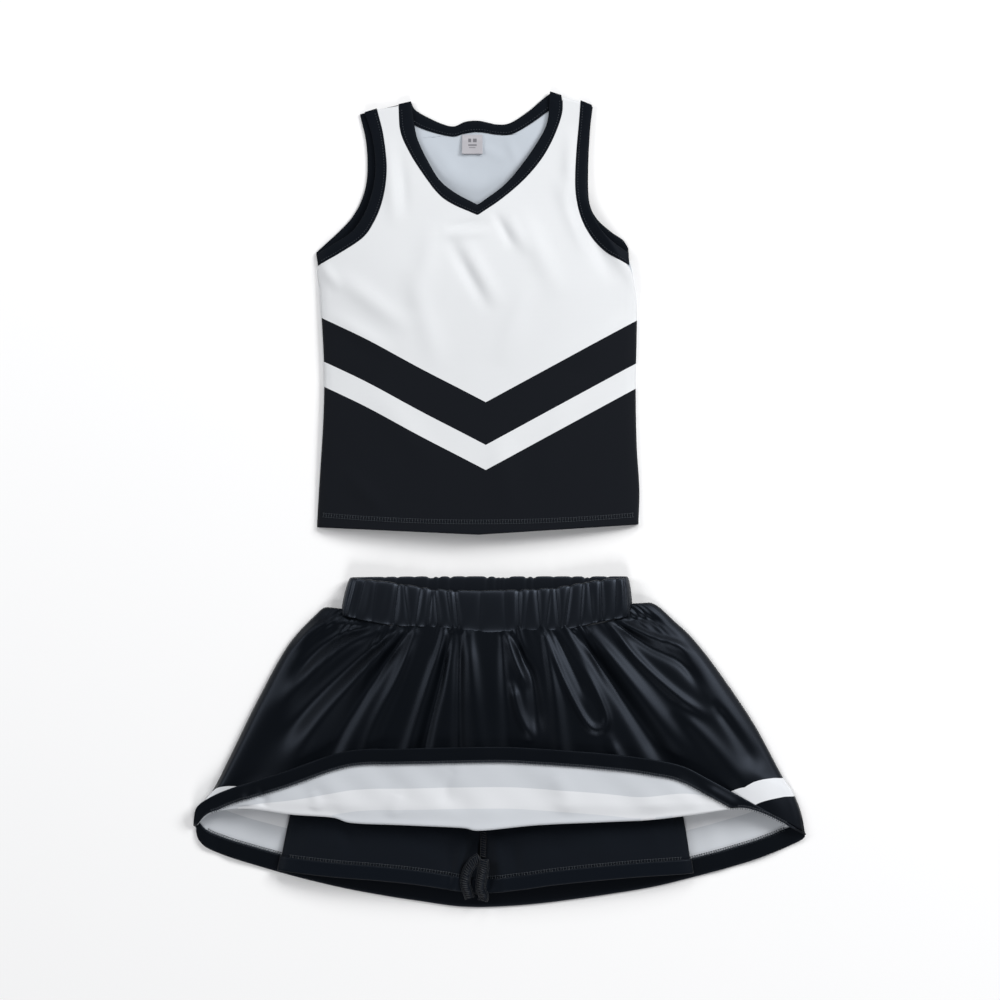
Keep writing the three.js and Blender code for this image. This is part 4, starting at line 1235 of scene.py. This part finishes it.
def build_skirt_stitching(scene):
    settings = scene.uniform_skirt
    u = np.linspace(0.035, 0.965, 420)
    for word, surface, across in (("front", hemmed_front(settings)[0], u), ("back", hemmed_back(settings)[0], 1 - u)):
        line = surface(across, np.ones(420)) + np.array([0, 0, 0.5 * MM])
        hem_stitches(f"skirt_{word}_hem_stitches", f"skirt_hem_stitch_{word}", "skirt", scene, line,
                     (1,), 4.6 * MM, 2.7 * MM, 0.95 * MM)


def build_skirt_seams(scene):
    for curve, word, inset in ((SKIRT_EDGES[2], "right", 7), (SKIRT_EDGES[3], "left", -7)):
        low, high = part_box(f"skirt_side_seam_{word}")
        line = at_height(curve(np.linspace(0.12, 0.86, 90)), (low.z + high.z) / 2)
        seam_piece(f"skirt_{word}_side_seam", f"skirt_side_seam_{word}", "skirt", scene, beside(line, inset * MM))
    build_crotch(scene)


# Where the shorts' seams run into view: down the centre front to the crotch, and the two inner-leg seams,
# which curl out from under it. Places in millimetres, height over the table last.
CENTRE_FRONT = [(-17.5, -150), (-17, -240), (-18, -330), (-18, -364), (-19, -392)]
INSEAM_ENDS = {
    -1: [(-22, -391, 21), (-30, -397, 22), (-36, -407, 20), (-38, -419, 17), (-35, -430, 13), (-33, -437, 9)],
    1: [(-18, -393, 23), (-18, -403, 23), (-20, -414, 20), (-21, -425, 16), (-18, -434, 12), (-19, -440, 8)],
}


def overlocked_strip(line, width, thickness, seed):
    """A strip of seam allowance with overlock thread wound over its edge: the cloth and the thread."""
    cloth = seam_allowance(line, width, thickness, seed)
    thread = bmesh.new()
    raised = line + np.array([0, 0, thickness * 0.42])
    stitches(thread, raised, 2.6 * MM, (width * 1.02, 1.0 * MM, 1.3 * MM), turn=math.radians(72))
    for edge in (-1, 1):
        stitches(thread, beside(raised, edge * width * 0.36), 2.6 * MM, (2.6 * MM, 0.9 * MM, 1.2 * MM))
    return cloth, thread


def build_crotch(scene):
    """The centre seam of the shorts, front and back, and the inner-leg seams that bunch at the crotch."""
    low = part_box("crotch_seam")[0].z
    t = np.linspace(0.02, 1, 90)
    plan = shifted(smooth_curve(CENTRE_FRONT), SKIRT_X, 0)(t)
    down = (plan[:, 1] - plan[0, 1]) / (-430 * MM - plan[0, 1])
    rise = leg_rise(np.ones(90), down) + 5.2 * MM * ease(t, 0.8, 0.95)
    front, back = at_height(plan, low + 1.5 * MM + rise), at_height(plan[:70], low + 1.1 * MM)
    sew("shorts_centre_seam", "crotch_seam", scene, [(front, 7.0 * MM, 2.2 * MM), (back, 6.0 * MM, 1.8 * MM)])
    for side, word in SIDES:
        line = smooth_curve(INSEAM_ENDS[side])(np.linspace(0, 1, 50)) + np.array([SKIRT_X, 0, 0])
        sew(f"shorts_{word}_inseam", f"shorts_inseam_{word}", scene, [(line, 11.5 * MM, 4.2 * MM)])


def sew(name, node_name, scene, strips):
    made = kit(scene)
    parts = [overlocked_strip(line, width, thick, 17 + i) for i, (line, width, thick) in enumerate(strips)]
    cloth = merge([part[0] for part in parts])
    for face in cloth.faces:
        face.material_index = 1
    piece(name, merge([cloth, *[part[1] for part in parts]]), "skirt", [made.dark_thread, made.shorts],
          [node_name])


# ---- Stage ----

# Each softbox: its name, place, width in metres and power in watts.
SOFTBOXES = [
    ("right_softbox", (2.3, 1.5, 1.9), 1.3, 82),
    ("left_softbox", (-2.5, 0.9, 1.9), 1.3, 34),
    ("top_softbox", (0.1, 3.0, 2.2), 1.3, 36),
    ("foot_softbox", (0.2, -2.9, 2.2), 1.3, 40),
]
VIEW_WIDTH = 1.1
CAMERA_HEIGHT = 4.0


def build_stage(scene):
    """A plain white floor, soft light from above and the camera straight overhead."""
    bm = bmesh.new()
    bmesh.ops.create_grid(bm, x_segments=1, y_segments=1, size=6.0)
    mesh = bpy.data.meshes.new("floor")
    bm.to_mesh(mesh)
    bm.free()
    mesh.transform(Matrix.Translation((0, 0, -0.6 * MM)))
    floor = bpy.data.objects.new("floor", mesh)
    scene.collection.objects.link(floor)
    material, tree = blank("matt_white_floor")
    shader = add(tree, "ShaderNodeBsdfDiffuse", {"Color": linear("fdfdfd")})
    add(tree, "ShaderNodeOutputMaterial", {"Surface": shader.outputs[0]})
    mesh.materials.append(material)
    world = bpy.data.worlds.new("soft_room")
    scene.world = world
    world.use_nodes = True
    world.node_tree.nodes["Background"].inputs["Color"].default_value = linear("f6f8ff")
    world.node_tree.nodes["Background"].inputs["Strength"].default_value = 0.14
    for name, spot, size, power in SOFTBOXES:
        light = bpy.data.lights.new(name, "AREA")
        light.size = size
        light.energy = power
        lamp = bpy.data.objects.new(name, light)
        lamp.location = spot
        lamp.rotation_euler = (-Vector(spot)).to_track_quat("-Z", "Y").to_euler()
        scene.collection.objects.link(lamp)
    camera = bpy.data.cameras.new("camera")
    camera.sensor_width = 36
    camera.lens = 36 * CAMERA_HEIGHT / VIEW_WIDTH
    eye = bpy.data.objects.new("camera", camera)
    eye.location = (0, 0, CAMERA_HEIGHT)
    scene.collection.objects.link(eye)
    scene.camera = eye
    scene.view_settings.view_transform = "Standard"


# ---- Operators ----

class UNIFORM_OT_top_panels(bpy.types.Operator):
    """Front and back of the shell, printed and hemmed"""
    bl_idname = "uniform.top_panels"
    bl_label = "Top panels"

    def execute(self, context):
        build_front(context.scene)
        build_back(context.scene)
        return {"FINISHED"}


class UNIFORM_OT_bindings(bpy.types.Operator):
    """Folded neck and armhole bindings and their stitches"""
    bl_idname = "uniform.bindings"
    bl_label = "Bindings"

    def execute(self, context):
        build_bindings(context.scene)
        return {"FINISHED"}


class UNIFORM_OT_top_stitching(bpy.types.Operator):
    """Hem stitches and inside seams of the top"""
    bl_idname = "uniform.top_stitching"
    bl_label = "Top stitching"

    def execute(self, context):
        build_top_stitching(context.scene)
        build_top_seams(context.scene)
        return {"FINISHED"}


class UNIFORM_OT_size_label(bpy.types.Operator):
    """The folded label at the back neck"""
    bl_idname = "uniform.size_label"
    bl_label = "Size label"

    def execute(self, context):
        build_label(context.scene)
        return {"FINISHED"}


class UNIFORM_OT_skirt_back(bpy.types.Operator):
    """Back panel of the skirt"""
    bl_idname = "uniform.skirt_back"
    bl_label = "Skirt back"

    def execute(self, context):
        build_skirt_back(context.scene)
        return {"FINISHED"}


class UNIFORM_OT_skirt_front(bpy.types.Operator):
    """Gathered front panel with its hem turned up"""
    bl_idname = "uniform.skirt_front"
    bl_label = "Skirt front"

    def execute(self, context):
        build_skirt_front(context.scene)
        return {"FINISHED"}


class UNIFORM_OT_waistband(bpy.types.Operator):
    """Gathered casing over the elastic"""
    bl_idname = "uniform.waistband"
    bl_label = "Waistband"

    def execute(self, context):
        build_waistband(context.scene)
        return {"FINISHED"}


class UNIFORM_OT_shorts(bpy.types.Operator):
    """Both legs of the built-in shorts and their hems"""
    bl_idname = "uniform.shorts"
    bl_label = "Shorts"

    def execute(self, context):
        build_shorts(context.scene)
        return {"FINISHED"}


class UNIFORM_OT_skirt_stitching(bpy.types.Operator):
    """Hem stitches and inside seams of the skirt"""
    bl_idname = "uniform.skirt_stitching"
    bl_label = "Skirt stitching"

    def execute(self, context):
        build_skirt_stitching(context.scene)
        build_skirt_seams(context.scene)
        return {"FINISHED"}


class UNIFORM_OT_stage(bpy.types.Operator):
    """Floor, light and camera"""
    bl_idname = "uniform.stage"
    bl_label = "Stage"

    def execute(self, context):
        build_stage(context.scene)
        return {"FINISHED"}


OPERATORS = [
    UNIFORM_OT_top_panels,
    UNIFORM_OT_bindings,
    UNIFORM_OT_top_stitching,
    UNIFORM_OT_size_label,
    UNIFORM_OT_skirt_back,
    UNIFORM_OT_skirt_front,
    UNIFORM_OT_waistband,
    UNIFORM_OT_shorts,
    UNIFORM_OT_skirt_stitching,
    UNIFORM_OT_stage,
]


class UNIFORM_PT_sidebar(bpy.types.Panel):
    """Lists the uniform's pieces in the order that they are made"""
    bl_label = "Cheer Uniform"
    bl_idname = "UNIFORM_PT_sidebar"
    bl_space_type = "VIEW_3D"
    bl_region_type = "UI"
    bl_category = "Uniform"

    def draw(self, context):
        for made in OPERATORS:
            self.layout.operator(made.bl_idname)


CLASSES = [TopSettings, SkirtSettings, *OPERATORS, UNIFORM_PT_sidebar]


def register():
    for made in CLASSES:
        bpy.utils.register_class(made)
    bpy.types.Scene.uniform_top = bpy.props.PointerProperty(type=TopSettings)
    bpy.types.Scene.uniform_skirt = bpy.props.PointerProperty(type=SkirtSettings)


def unregister():
    del bpy.types.Scene.uniform_skirt
    del bpy.types.Scene.uniform_top
    for made in reversed(CLASSES):
        bpy.utils.unregister_class(made)


def main():
    register()
    for made in OPERATORS:
        getattr(bpy.ops.uniform, made.bl_idname.split(".")[1])()
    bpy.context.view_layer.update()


if __name__ == "__main__":
    main()
